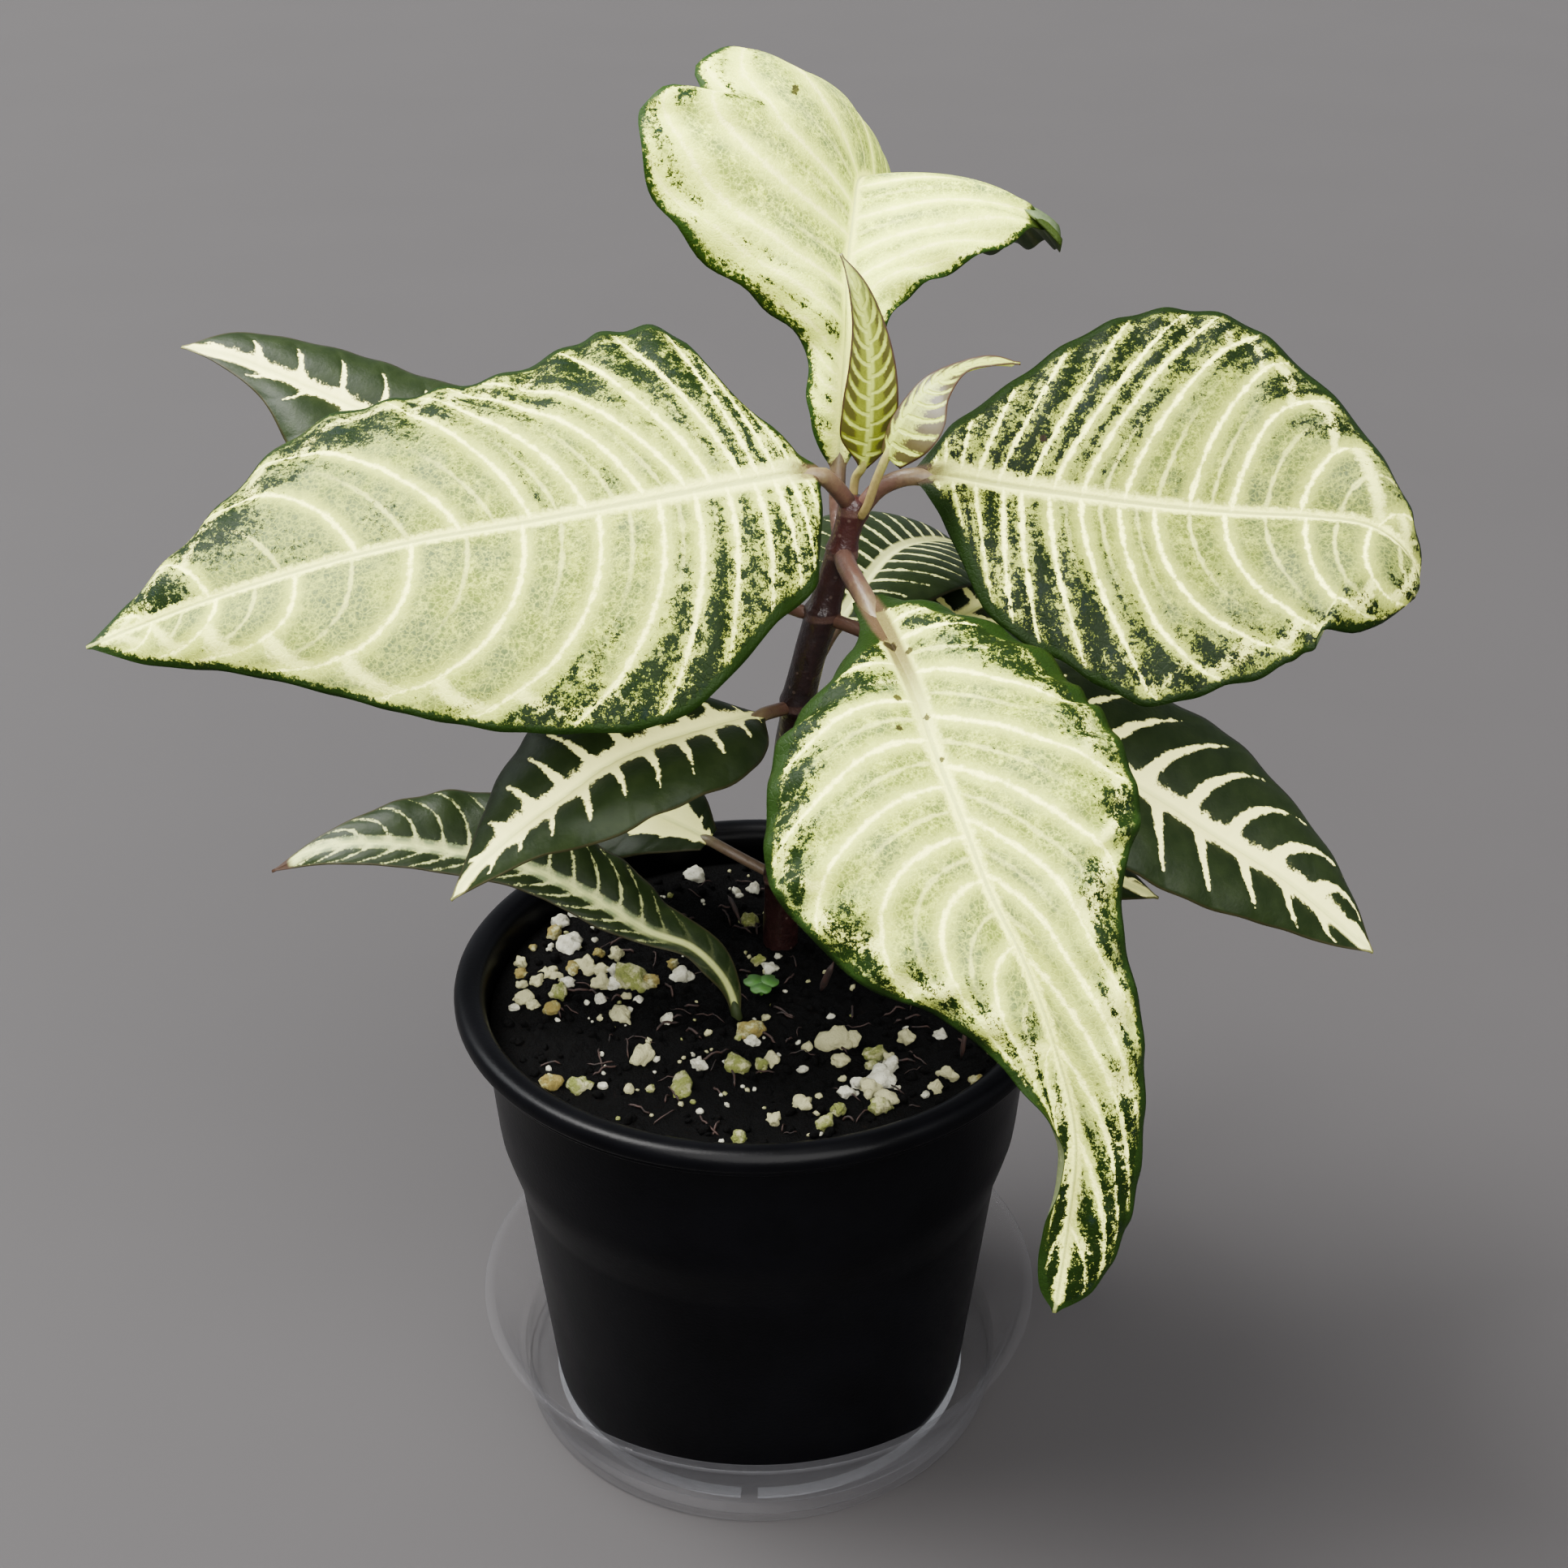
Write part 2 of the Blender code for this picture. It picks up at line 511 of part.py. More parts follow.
def make_soil():
    # The soil fills the pot; its top is uneven and carries the grains
    mesh = baked(turned("soil_turned", SOIL_PROFILE, cutters, None), "soil")
    bm = bmesh.new()
    bm.from_mesh(mesh)
    for vert in bm.verts:
        x, y, z = vert.co / MM
        if z > SOIL_TOP - 1.0 and math.hypot(x, y) < SOIL_RELIEF_EDGE:
            vert.co.z = soil_height(x, y) * MM
    bmesh.ops.triangulate(bm, faces=bm.faces[:])
    bpy.data.meshes.remove(mesh)
    soil = add_object("soil", mesh_from_bmesh("soil", bm), parts, "peat")
    grains = bpy.data.collections.new("grains")
    for index, (x, y, radius) in enumerate(GRAINS):
        grains.objects.link(bpy.data.objects.new("grain", grain(index, x, y, radius)))
    join = soil.modifiers.new("grains", "BOOLEAN")
    join.operation = "UNION"
    join.operand_type = "COLLECTION"
    join.collection = grains
    whole = baked(soil, "soil")
    for loose in list(grains.objects):
        bpy.data.objects.remove(loose, do_unlink=True)
    bpy.data.collections.remove(grains)
    return add_object("soil", whole, parts)


def make_pot():
    pot = turned("pot", POT_PROFILE, parts, "black_plastic")
    bm = bmesh.new()
    for index in range(DRAIN_HOLES):
        angle = math.tau * index / DRAIN_HOLES
        where = Vector((math.cos(angle), math.sin(angle), 0.0)) * DRAIN_RING * MM
        place = Matrix.Translation(where + Vector((0.0, 0.0, 3.0 * MM)))
        bmesh.ops.create_cone(
            bm, cap_ends=True, segments=12, radius1=DRAIN_RADIUS * MM,
            radius2=DRAIN_RADIUS * MM, depth=6.0 * MM, matrix=place,
        )
    cut(pot, add_cutter("drain_cutter", mesh_from_bmesh("drain_cutter", bm)))
    return pot


def make_seedling():
    # The stalk and its three leaflets, united as one body
    head = Vector(SEEDLING_HEAD)
    stalk = tube("seedling", [(*SEEDLING_FOOT, SEEDLING_STALK), (*head, SEEDLING_STALK)], sides=6)
    seedling = add_object("seedling", stalk, parts, "clover")
    for index in range(3):
        angle = math.tau * (index / 3.0 + 0.08)
        centre = head + Vector((math.cos(angle), math.sin(angle), 0.05)) * LEAFLET_SINK
        bm = bmesh.new()
        bmesh.ops.create_cone(
            bm, cap_ends=True, segments=LEAFLET_SIDES, radius1=LEAFLET_RADIUS * MM,
            radius2=LEAFLET_RADIUS * MM, depth=2.0 * LEAFLET_HALF * MM,
            matrix=Matrix.Translation(centre * MM),
        )
        leaflet = add_cutter("leaflet_" + str(index), mesh_from_bmesh("leaflet", bm))
        cut(seedling, leaflet, "UNION")
    return seedling


def main():
    make_pot()
    turned("saucer", SAUCER_PROFILE, parts, "clear_plastic")
    soil = make_soil()
    add_object("stem", tube("stem", STEM_PATH), parts, "bark")
    stem_room = add_cutter("stem_room", tube("stem_room", lengthened(STEM_PATH), GAP))
    cut(soil, stem_room)
    for name, values in LEAVES.items():
        if name in PALE_LEAVES:
            kind = "pale_leaf"
        elif name.startswith("young"):
            kind = "young_leaf"
        else:
            kind = "dark_leaf"
        leaf = add_object(name, leaf_mesh(name, values), parts, kind)
        if name != "leaf_low_left":
            cut(leaf, stem_room)
    low = LEAVES["leaf_low_left"]
    root = lengthened([(x, y, z, low["petiole"]) for x, y, z, _, _ in low["stations"][:3]])
    cut(soil, add_cutter("low_leaf_room", tube("low_leaf_room", root, 2 * GAP, sides=12)))
    make_seedling()
    stalk = lengthened([(*SEEDLING_FOOT, SEEDLING_STALK), (*SEEDLING_HEAD, SEEDLING_STALK)])
    cut(soil, add_cutter("seedling_room", tube("seedling_room", stalk, GAP, sides=6)))


clear_scene()
parts = new_collection("potted_zebra_plant")
cutters = new_collection("cutters")
main()
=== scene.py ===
import math
import random

import bmesh
import bpy
import numpy as np
from mathutils import Euler, Matrix, Vector, noise


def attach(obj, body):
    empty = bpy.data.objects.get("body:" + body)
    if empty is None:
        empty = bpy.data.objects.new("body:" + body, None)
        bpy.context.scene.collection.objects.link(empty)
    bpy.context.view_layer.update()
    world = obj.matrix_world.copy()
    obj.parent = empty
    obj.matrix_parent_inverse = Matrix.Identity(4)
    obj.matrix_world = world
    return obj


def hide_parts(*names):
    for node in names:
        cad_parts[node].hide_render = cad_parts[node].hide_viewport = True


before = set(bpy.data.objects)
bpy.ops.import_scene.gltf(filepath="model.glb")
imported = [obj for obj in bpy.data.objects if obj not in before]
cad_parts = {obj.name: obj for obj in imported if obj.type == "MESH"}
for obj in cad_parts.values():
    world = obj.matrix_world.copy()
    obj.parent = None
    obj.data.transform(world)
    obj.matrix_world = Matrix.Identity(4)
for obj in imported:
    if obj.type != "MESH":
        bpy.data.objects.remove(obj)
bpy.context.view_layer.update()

mm = 0.001


# Small tools for meshes

def smoothShare(low, high, value):
    share = np.clip((value - low) / (high - low), 0.0, 1.0)
    return share * share * (3.0 - 2.0 * share)


def pieceFrom(name, bm, normals=True):
    # Makes the object of a bmesh, smooth shaded
    if normals:
        bmesh.ops.recalc_face_normals(bm, faces=bm.faces[:])
    mesh = bpy.data.meshes.new(name)
    bm.to_mesh(mesh)
    bm.free()
    for face in mesh.polygons:
        face.use_smooth = True
    made = bpy.data.objects.new(name, mesh)
    bpy.context.scene.collection.objects.link(made)
    return made


def addPart(bm, part):
    # Adds the bmesh part to bm
    loose = bpy.data.meshes.new("part")
    part.to_mesh(loose)
    part.free()
    bm.from_mesh(loose)
    bpy.data.meshes.remove(loose)


def place(piece, node, slot, *materials):
    # Puts a piece in the place of a node of the frame
    for material in materials:
        piece.data.materials.append(material)
    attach(piece, "root")
    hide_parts(node)
    return piece


def smoothPath(knots, values, at):
    # A smooth curve through values at knots, read at every number of at
    values = np.asarray(values, float)
    last = len(knots) - 1
    slopes = np.zeros_like(values)
    slopes[0] = (values[1] - values[0]) / (knots[1] - knots[0])
    slopes[last] = (values[last] - values[last - 1]) / (knots[last] - knots[last - 1])
    for i in range(1, last):
        before = knots[i] - knots[i - 1]
        after = knots[i + 1] - knots[i]
        rise = (values[i] - values[i - 1]) / before * after
        run = (values[i + 1] - values[i]) / after * before
        slopes[i] = (rise + run) / (before + after)
    i = np.clip(np.searchsorted(knots, at, side="right") - 1, 0, last - 1)
    span = (knots[i + 1] - knots[i])[:, None]
    t = (np.asarray(at) - knots[i])[:, None] / span
    near = (2 * t**3 - 3 * t**2 + 1) * values[i] + (t**3 - 2 * t**2 + t) * span * slopes[i]
    far = (3 * t**2 - 2 * t**3) * values[i + 1] + (t**3 - t**2) * span * slopes[i + 1]
    return near + far


def knotsOf(points):
    steps = np.linalg.norm(np.diff(points, axis=0), axis=1) ** 0.5
    return np.concatenate([[0.0], np.cumsum(steps)])


def spotsOf(mesh):
    flat = np.empty(len(mesh.vertices) * 3)
    mesh.vertices.foreach_get("co", flat)
    return flat.reshape(-1, 3)


def writeValues(mesh, title, values):
    mesh.attributes.new(title, "FLOAT", "POINT").data.foreach_set("value", values)


def unit(vectors):
    return vectors / np.linalg.norm(vectors, axis=-1, keepdims=True)


def tubeMesh(centres, radii, sides, across=None, flat=1.0):
    # A closed tube: a grid rolled up round the centres, its ends drawn in to a point
    centres = np.asarray(centres, float)
    radii = np.asarray(radii, float)
    along = unit(np.gradient(centres, axis=0))
    if across is None:
        across = np.tile(np.array([0.2, 0.97, 0.1]), (len(centres), 1))
    out = unit(np.cross(along, across))
    up = np.cross(out, along)
    bm = bmesh.new()
    bmesh.ops.create_grid(bm, x_segments=sides, y_segments=len(centres) - 1, size=1.0)
    for vert in bm.verts:
        row = round((vert.co.y + 1.0) / 2.0 * (len(centres) - 1))
        angle = (vert.co.x + 1.0) * math.pi
        radius = radii[row] if 0 < row < len(centres) - 1 else 0.0
        ring = out[row] * math.cos(angle) + up[row] * math.sin(angle) * flat
        vert.co = Vector(centres[row] + ring * radius) * mm
    bmesh.ops.remove_doubles(bm, verts=bm.verts[:], dist=0.000002)
    return bm


def turnedMesh(profile, steps):
    # A closed outline of radius and height, spun once round the Z axis
    bm = bmesh.new()
    ring = [bm.verts.new((radius * mm, 0.0, height * mm)) for radius, height in profile]
    for i, vert in enumerate(ring):
        after = ring[(i + 1) % len(ring)]
        if vert.co.x > 0.0 or after.co.x > 0.0:
            bm.edges.new((vert, after))
    bmesh.ops.spin(
        bm, geom=bm.verts[:] + bm.edges[:], cent=(0, 0, 0), axis=(0, 0, 1),
        angle=math.tau, steps=steps, use_merge=True,
    )
    bmesh.ops.remove_doubles(bm, verts=bm.verts[:], dist=0.000005)
    return bm


# Small tools for materials. The nodes go to the material that newFinish started last.

bench = {}


class Wire:
    # A value on its way through a material; arithmetic with it adds math nodes
    def __init__(self, socket):
        self.socket = socket

    def __add__(self, other):
        return maths("ADD", self, other)

    def __sub__(self, other):
        return maths("SUBTRACT", self, other)

    def __rsub__(self, other):
        return maths("SUBTRACT", other, self)

    def __mul__(self, other):
        return maths("MULTIPLY", self, other)

    def __truediv__(self, other):
        return maths("DIVIDE", self, other)


def newFinish(name, roughness=0.5, specular=0.5):
    made = bpy.data.materials.new(name)
    made.use_nodes = True
    bench.update(material=made, shader=made.node_tree.nodes["Principled BSDF"])
    feed(bench["shader"].inputs["Roughness"], roughness)
    feed(bench["shader"].inputs["Specular IOR Level"], specular)


def feed(socket, value):
    if isinstance(value, Wire):
        bench["material"].node_tree.links.new(value.socket, socket)
    elif isinstance(value, tuple) and socket.type == "RGBA":
        socket.default_value = (*value, 1.0)
    else:
        socket.default_value = value


def addNode(kind, inputs, output=0, **settings):
    made = bench["material"].node_tree.nodes.new("ShaderNode" + kind)
    for title, value in settings.items():
        setattr(made, title, value)
    for title, value in inputs.items():
        feed(made.inputs[title], value)
    return Wire(made.outputs[output])


def maths(operation, *values):
    return addNode("Math", dict(enumerate(values)), operation=operation)


def highest(first, *others):
    for other in others:
        first = maths("MAXIMUM", first, other)
    return first


def between(share, low, high):
    return maths("MULTIPLY_ADD", share, high - low, low)


def rise(value, low, high, start=0.0, end=1.0):
    # A smooth step of value from low to high
    limits = {"From Min": low, "From Max": high, "To Min": start, "To Max": end}
    return addNode("MapRange", {"Value": value, **limits}, interpolation_type="SMOOTHSTEP")


def fall(value, low, high):
    return rise(value, low, high, 1.0, 0.0)


def blend(share, first, second):
    return addNode("Mix", {0: share, 6: first, 7: second}, 2, data_type="RGBA")


def surface(scale=1000.0):
    # Object coordinates in millimetres
    spot = addNode("TexCoord", {}, "Object")
    return addNode("VectorMath", {0: spot, "Scale": scale}, operation="SCALE")


def vectorOf(x, y, z):
    return addNode("CombineXYZ", {0: x, 1: y, 2: z})


def lengthOf(vector):
    return addNode("VectorMath", {0: vector}, "Value", operation="LENGTH")


def grainNoise(where, scale, detail=3.0, roughness=0.6):
    # Noise from about -1 to 1
    grain = addNode("TexNoise", {"Vector": where, "Scale": scale, "Detail": detail,
                                 "Roughness": roughness}, "Fac")
    return maths("MULTIPLY_ADD", grain, 3.6, -1.8)


def cellLines(where, scale, feature="DISTANCE_TO_EDGE"):
    return addNode("TexVoronoi", {"Vector": where, "Scale": scale}, "Distance", feature=feature)


def attributeOf(name):
    return addNode("Attribute", {}, "Fac", attribute_name=name)


def finish(tone, height=None, strength=0.3, distance=0.0003, others=None):
    # Sets the colour, the bump and other inputs, and returns the finished material
    shader = bench["shader"]
    feed(shader.inputs["Base Color"], tone)
    if height:
        feed(shader.inputs["Normal"],
             addNode("Bump", {"Strength": strength, "Distance": distance, "Height": height},
                     "Normal"))
    for title, value in (others or {}).items():
        feed(shader.inputs[title], value)
    return bench["material"]


# Camera, floor and light

studio = dict(
    spot=(0.0054, -0.3698, 0.3494), tilt=0.51, lens=50.98,
    floorSize=6.0, floorColour=(0.0194, 0.0180, 0.0186),
    skyColour=(0.90, 0.93, 1.0), skyStrength=0.60, sunColour=(1.0, 0.985, 0.96),
    softFrom=(-0.7, 0.25, 0.75), softAim=(0.0, 0.0, 0.12), softSize=0.6, softPower=9.0,
    softColour=(0.93, 0.97, 1.0),
    keyFrom=(-0.50, 0.05, 1.0), keyAngle=0.6, keyPower=16.0,
    frontFrom=(0.25, -1.0, 0.95), frontAngle=1.2, frontPower=11.0,
)


def hang(name, data, spot, turn):
    holder = bpy.data.objects.new(name, data)
    holder.location = spot
    holder.rotation_euler = turn
    bpy.context.scene.collection.objects.link(holder)
    return holder


def setCamera():
    eye = bpy.data.cameras.new("photoCamera")
    eye.lens = studio["lens"]
    eye.sensor_width = 36.0
    eye.clip_start = 0.01
    bpy.context.scene.camera = hang("photoCamera", eye, studio["spot"],
                                    (math.pi / 2 - studio["tilt"], 0.0, 0.0))


def addLight(name, kind, spot, aim, power, colour):
    lamp = bpy.data.lights.new(name, kind)
    lamp.energy = power
    lamp.color = colour
    look = Vector(aim) - Vector(spot)
    hang(name, lamp, spot, look.to_track_quat("-Z", "Y").to_euler())
    return lamp


def setStudio():
    bm = bmesh.new()
    bmesh.ops.create_grid(bm, x_segments=1, y_segments=1, size=studio["floorSize"] / 2)
    floor = pieceFrom("studioFloor", bm)
    newFinish("paperFloor", 0.75, 0.3)
    cloud = rise(grainNoise(surface(1.0), 9.0), -1.0, 1.0)
    darker = tuple(value * 0.95 for value in studio["floorColour"])
    floor.data.materials.append(finish(blend(cloud, studio["floorColour"], darker)))
    world = bpy.data.worlds.new("softSky")
    world.use_nodes = True
    sky = world.node_tree.nodes["Background"]
    sky.inputs["Color"].default_value = (*studio["skyColour"], 1.0)
    sky.inputs["Strength"].default_value = studio["skyStrength"]
    bpy.context.scene.world = world
    for name, side in (("wideKey", "key"), ("frontFill", "front")):
        sun = addLight(name, "SUN", studio[side + "From"], (0, 0, 0), studio[side + "Power"],
                       studio["sunColour"])
        sun.angle = studio[side + "Angle"]
    box = addLight("leftSoftbox", "AREA", studio["softFrom"], studio["softAim"],
                   studio["softPower"], studio["softColour"])
    box.shape, box.size = "DISK", studio["softSize"]


setCamera()
setStudio()
print("camera and studio set")


# Leaves. A station is x, y, z of the midrib in millimetres and the widths of the left and
# right halves. The face is the way the blade looks, from base to tip; lift and arch raise each
# half by degrees and by millimetres. A curl is half, place, spread and depth of the margin; a
# roll is half, place, spread, the share of the half that stays flat, and the degrees that the
# rest turns up. A notch is half, place, spread and the share of the width that is missing.
# Side veins leave the midrib at roots and meet the margin at ends, or stand at even spacing.

leafDefaults = dict(
    rows=60, columns=36, ribRows=70, ribSides=16, ribStop=0.985,
    lift=(0, 0), lifts=None, arch=(2, 2), petiole=1.3, ribEnd=0.42, half=0.2, leastWidth=0.3,
    wave=0.25, waveLength=15.0, ripple=0.005, relief=0.07, groove=0.12, sweep=(2.0, 2.0),
    curls=(), rolls=(), notches=(),
)

leaves = dict(
    leaf_left=dict(stations=[
        (17.5, 3, 198, 0, 0), (14.5, 0, 203, 0, 0), (12, -2, 206, 1, 1), (8, -4, 207, 17, 8),
        (-2, -8, 207, 26, 36), (-20, -12, 205, 39, 42), (-39, -14, 202, 38, 36.5),
        (-57, -16, 199.5, 33, 35), (-74, -17, 195.5, 25, 33.5), (-93, -19, 190, 14, 18.5),
        (-108, -20, 184.5, 6.5, 6), (-116, -21, 181.5, 0, 0),
    ], face=((0.05, -0.62, 0.78), (0, -0.62, 0.78)), lift=(-10, -13), arch=(3, 3), petiole=1.6,
        wave=0.6, phase=0.4, relief=0.3, rows=140, columns=92, sweep=(2.5, 1.4),
        roots=([1.5, 4, 6.9, 9.8, 13.4, 18.3, 24, 30.2, 40.8, 54, 73.5, 94.4, 108.7, 121],
               [2, 4, 6, 9, 12.2, 15.2, 20.6, 25, 32.4, 42.9, 52.5, 64.7, 83, 110]),
        ends=([1, 4, 7.5, 10.5, 16.5, 26, 37.7, 52.5, 71, 89, 110, 121, 129, 136],
              [3, 7, 11, 15, 20, 32, 45, 60, 66, 71, 77, 103, 112.5, 121])),
    leaf_right=dict(stations=[
        (18.6, 2.6, 196.8, 0, 0), (22.6, 2.2, 202, 0, 0), (28.3, 1, 204.7, 1, 1),
        (33.7, 0, 205, 10, 7.5), (45, -1, 203.5, 23, 26), (58, -2, 202, 35, 33),
        (72, -3, 200.5, 41, 38.5), (86, -5, 200, 38, 33.5), (98, -8, 200.5, 25, 29),
        (107, -12, 200.5, 12, 27), (112.3, -14, 197.5, 6, 20.5), (116.5, -12, 190.5, 3, 4.5),
        (117.5, -7, 184, 0, 0),
    ], face=((0.05, -0.62, 0.78), (0.45, -0.62, 0.6)), arch=(3, 3), petiole=1.6, wave=0.6,
        phase=1.9, relief=0.32, rows=140, columns=92, sweep=(1.5, 2.2),
        roots=([2, 4, 5.6, 8.3, 11.3, 15.2, 20.8, 25, 30.2, 37.7, 49.3, 56.6, 68.5, 82, 92],
               [2, 4.5, 7, 11.2, 16.3, 19.5, 24.5, 30, 36.8, 43, 55.5, 69.7, 81, 92]),
        ends=([1, 3, 5, 9, 17, 26, 37, 47, 53, 60, 66, 73, 79.5, 88, 98],
              [3, 7, 13, 18, 21, 25.7, 34, 47, 59, 75, 87, 95, 99, 103])),
    leaf_back=dict(stations=[
        (15.9, 3.5, 189.5, 0, 0), (15.2, 9.5, 194.5, 0, 0), (15.2, 12, 201, 1, 1),
        (15.6, 12.6, 206.5, 4.5, 3), (15.7, 15, 213, 6.5, 4.6), (16.3, 20, 221.7, 8, 6.5),
        (16.6, 24, 227.3, 18, 9), (16.8, 29, 232.5, 33, 17), (18, 38, 240.5, 44.5, 31),
        (19.4, 49, 245, 34.5, 39), (25, 67, 238, 25.5, 36), (28, 87, 226, 17, 23),
        (30, 106, 207, 0, 0),
    ], face=((0, -0.85, 0.5), (0.05, 0.5, 0.85)), arch=(6.5, 3), petiole=1.5, wave=1.0, phase=0.8,
        curls=[(1, 0.7, 0.12, -6)], notches=[(0, 0.602, 0.011, 0.13)], rows=150, columns=92,
        sweep=(3.0, 1.2), relief=0.2,
        lifts=[(20, 20), (20, 20), (20, 20), (20, 20), (20, 20), (18, 14), (18, 10), (22, 6),
               (32, 0), (38, -3), (40, -5), (40, -8), (30, 0)],
        roots=([3, 7, 11, 14.5, 17, 20.5, 26.5, 33.5, 44.5, 51.7, 60.3, 72, 86, 102, 118],
               [3, 7, 11, 15, 20, 27, 33.5, 40.6, 48.5, 57, 68, 82, 98, 115]),
        ends=([4, 9, 14, 19, 25, 32, 45, 54, 60, 64, 68, 81, 98, 115, 127],
              [4, 9, 14, 20, 29, 43, 48, 53, 58, 66, 78, 93, 110, 124])),
    leaf_front=dict(stations=[
        (15.9, 2.5, 189.3, 0, 0), (17, -4, 188.6, 0, 0), (19.8, -11, 186.2, 3, 2.5),
        (22.6, -19, 184, 12, 4.5), (27.2, -34, 180, 24, 21), (30, -46, 175.5, 28, 28.5),
        (34.3, -58, 168.3, 29, 33), (38.5, -67, 160, 26, 27.5), (43.8, -74, 151.4, 17, 18.5),
        (48.8, -80, 139, 14.5, 8.5), (52.6, -84, 124, 11, 5), (52, -87, 108, 9.5, 4.5),
        (50.9, -89.3, 96, 5, 3), (50.4, -90, 92, 0, 0),
    ], face=((0, -0.5, 0.87), (-0.1, -0.98, 0.1)), lift=(-4, 0), arch=(4, 4), petiole=1.9,
        wave=1.0, phase=2.6, rows=150, columns=88, rolls=[(1, 0.8, 0.085, 0.3, 160)],
        sweep=(1.15, 2.2), relief=0.2,
        roots=([3, 6, 9.5, 13.5, 21.5, 32, 42.5, 52.5, 62.2, 76.5, 92, 108, 124],
               [4, 9, 14, 19.5, 28.6, 37, 46.3, 55.7, 63.4, 75, 92, 110, 126]),
        ends=([4, 8, 12, 19.5, 40, 57, 76, 96, 114, 126, 134, 139, 143],
              [3, 7, 13, 22, 38.5, 50, 64, 79, 107, 126, 134, 140, 143])),
    leaf_upper_left=dict(stations=[
        (12.4, 3, 176.5, 0, 0), (7.5, 4.5, 177, 0, 0), (0, 12, 178, 1, 1), (-20, 25, 183, 15, 14),
        (-46, 38, 189.6, 22.5, 22), (-69, 47, 196, 22, 14.5), (-82, 51, 200.4, 17, 13),
        (-95.5, 55, 205, 6.6, 10), (-107, 58, 208.3, 2.4, 6), (-115, 60, 209, 0, 0),
    ], face=((0, -0.45, 0.87),), phase=0.2, rows=100, columns=56, spacing=9.0, slant=8.0),
    leaf_lower_right=dict(stations=[
        (12.6, 3, 176.3, 0, 0), (18.2, -1, 175.9, 0, 0), (26.7, -5, 173.5, 1, 1),
        (38.6, -7, 166.2, 9, 8), (55.3, -9, 156.3, 20, 18), (72.7, -11, 147, 22, 18),
        (85.7, -12, 138.3, 22.5, 16), (99.7, -13, 129, 16, 11), (111, -14, 119.6, 8.3, 5),
        (118, -15, 114, 0, 0),
    ], face=((0.1, -0.45, 0.87),), phase=1.2, rows=100, columns=56, spacing=10.0, slant=8.0,
        leftSlant=20.0),
    leaf_lower_left=dict(stations=[
        (8.2, 4, 157.5, 0, 0), (3.5, 0, 158.2, 0, 0), (1.2, -3, 159, 1, 1),
        (-3.7, -8, 160.4, 9.6, 8), (-9.8, -13, 161, 14.5, 12), (-18, -19, 161.2, 15.7, 14),
        (-25.7, -24, 159.8, 15.3, 17), (-32.8, -28, 156, 13.3, 16.6),
        (-40.3, -31, 151.3, 8, 12.4), (-48.6, -34, 144.8, 4, 4), (-53.7, -36, 139, 0, 0),
    ], face=((-0.1, -0.35, 0.93),), phase=2.2, rows=90, columns=52, spacing=6.5, slant=5.0),
    leaf_back_right=dict(stations=[
        (8.2, 4.2, 158, 0, 0), (11.5, 11, 163, 0, 0), (15, 19, 166, 1, 1), (21, 33, 169, 13, 13),
        (28, 48, 170, 19, 19), (37, 62, 166, 13, 13), (47, 76, 158, 0, 0),
    ], face=((0, -0.3, 0.95),), phase=0.9, rows=70, columns=48, spacing=4.4, slant=5.0),
    leaf_back_low=dict(stations=[
        (5.6, 12, 131.5, 0, 0), (12, 17, 137.5, 0, 0), (19, 23, 143, 1, 1), (30, 35, 151, 12, 12),
        (43, 48, 156, 17, 17), (55, 59, 156, 11, 11), (66, 68, 151, 0, 0),
    ], face=((0, -0.3, 0.95),), petiole=1.2, phase=1.7, rows=70, columns=48, spacing=6.5,
        slant=5.0),
    leaf_low_back_left=dict(stations=[
        (4.9, 17.5, 110.5, 0, 0), (0, 18, 113.2, 0, 0), (-5.5, 19, 116, 0, 0),
        (-10, 21, 117.7, 3, 3), (-16.5, 26, 118.5, 9, 9), (-24.4, 32, 118.8, 14, 14),
        (-33.5, 40, 118.4, 11, 11), (-41, 46, 118, 0, 0),
    ], face=((-0.1, -0.4, 0.9),), arch=(1.5, 1.5), petiole=1.1, wave=0.6, phase=0.5, rows=60,
        columns=44, spacing=5.5, slant=4.0),
    leaf_low_left=dict(stations=[
        (-3, -6, 84, 0, 0), (-4, -6, 93, 0.8, 0.8), (-5.5, -6, 99.5, 1.6, 2.6),
        (-8.5, -6, 104.9, 2.6, 4.4), (-13, -5, 108.8, 2.4, 5), (-21, -4, 111.6, 3, 7.5),
        (-28.8, -3, 116.6, 5, 10), (-36.6, -2, 121, 5, 11), (-46, -1, 125, 5, 13),
        (-58.6, 0, 127.4, 5, 14), (-71, 0, 129.3, 5, 9.4), (-83.6, 0, 128.6, 4, 3),
        (-94.5, 0, 123, 0, 0),
    ], face=((0, -0.5, 0.87),), arch=(1.5, 1.5), petiole=1.1, wave=0.6, phase=1.4, rows=110,
        columns=48, spacing=5.2, slant=9.0),
    leaf_low_right=dict(stations=[
        (4.9, 17.2, 112, 0, 0), (12, 13.5, 114.5, 0, 0), (20, 10, 117, 1, 1), (34, 5, 124, 9, 9),
        (50, 1, 127, 13, 13), (65, -3, 125, 8, 8), (78, -5, 120, 0, 0),
    ], face=((0, -0.3, 0.95),), arch=(1.5, 1.5), petiole=1.1, wave=0.6, phase=2.0, rows=70,
        columns=44, spacing=6.0, slant=5.0),
    young_leaf_upright=dict(stations=[
        (17.9, 4.9, 197, 0, 0), (18.2, 4.5, 202.8, 0, 0), (19.4, 3.1, 205.6, 0.9, 0.9),
        (20.3, 1.8, 211.4, 5, 4), (20.4, 0.8, 217.7, 5, 5), (20.4, 0.6, 225.1, 4, 4.4),
        (19.5, 1, 232.3, 2.6, 3.2), (17.4, 1.5, 239, 1.2, 2), (15, 3, 244, 0, 0),
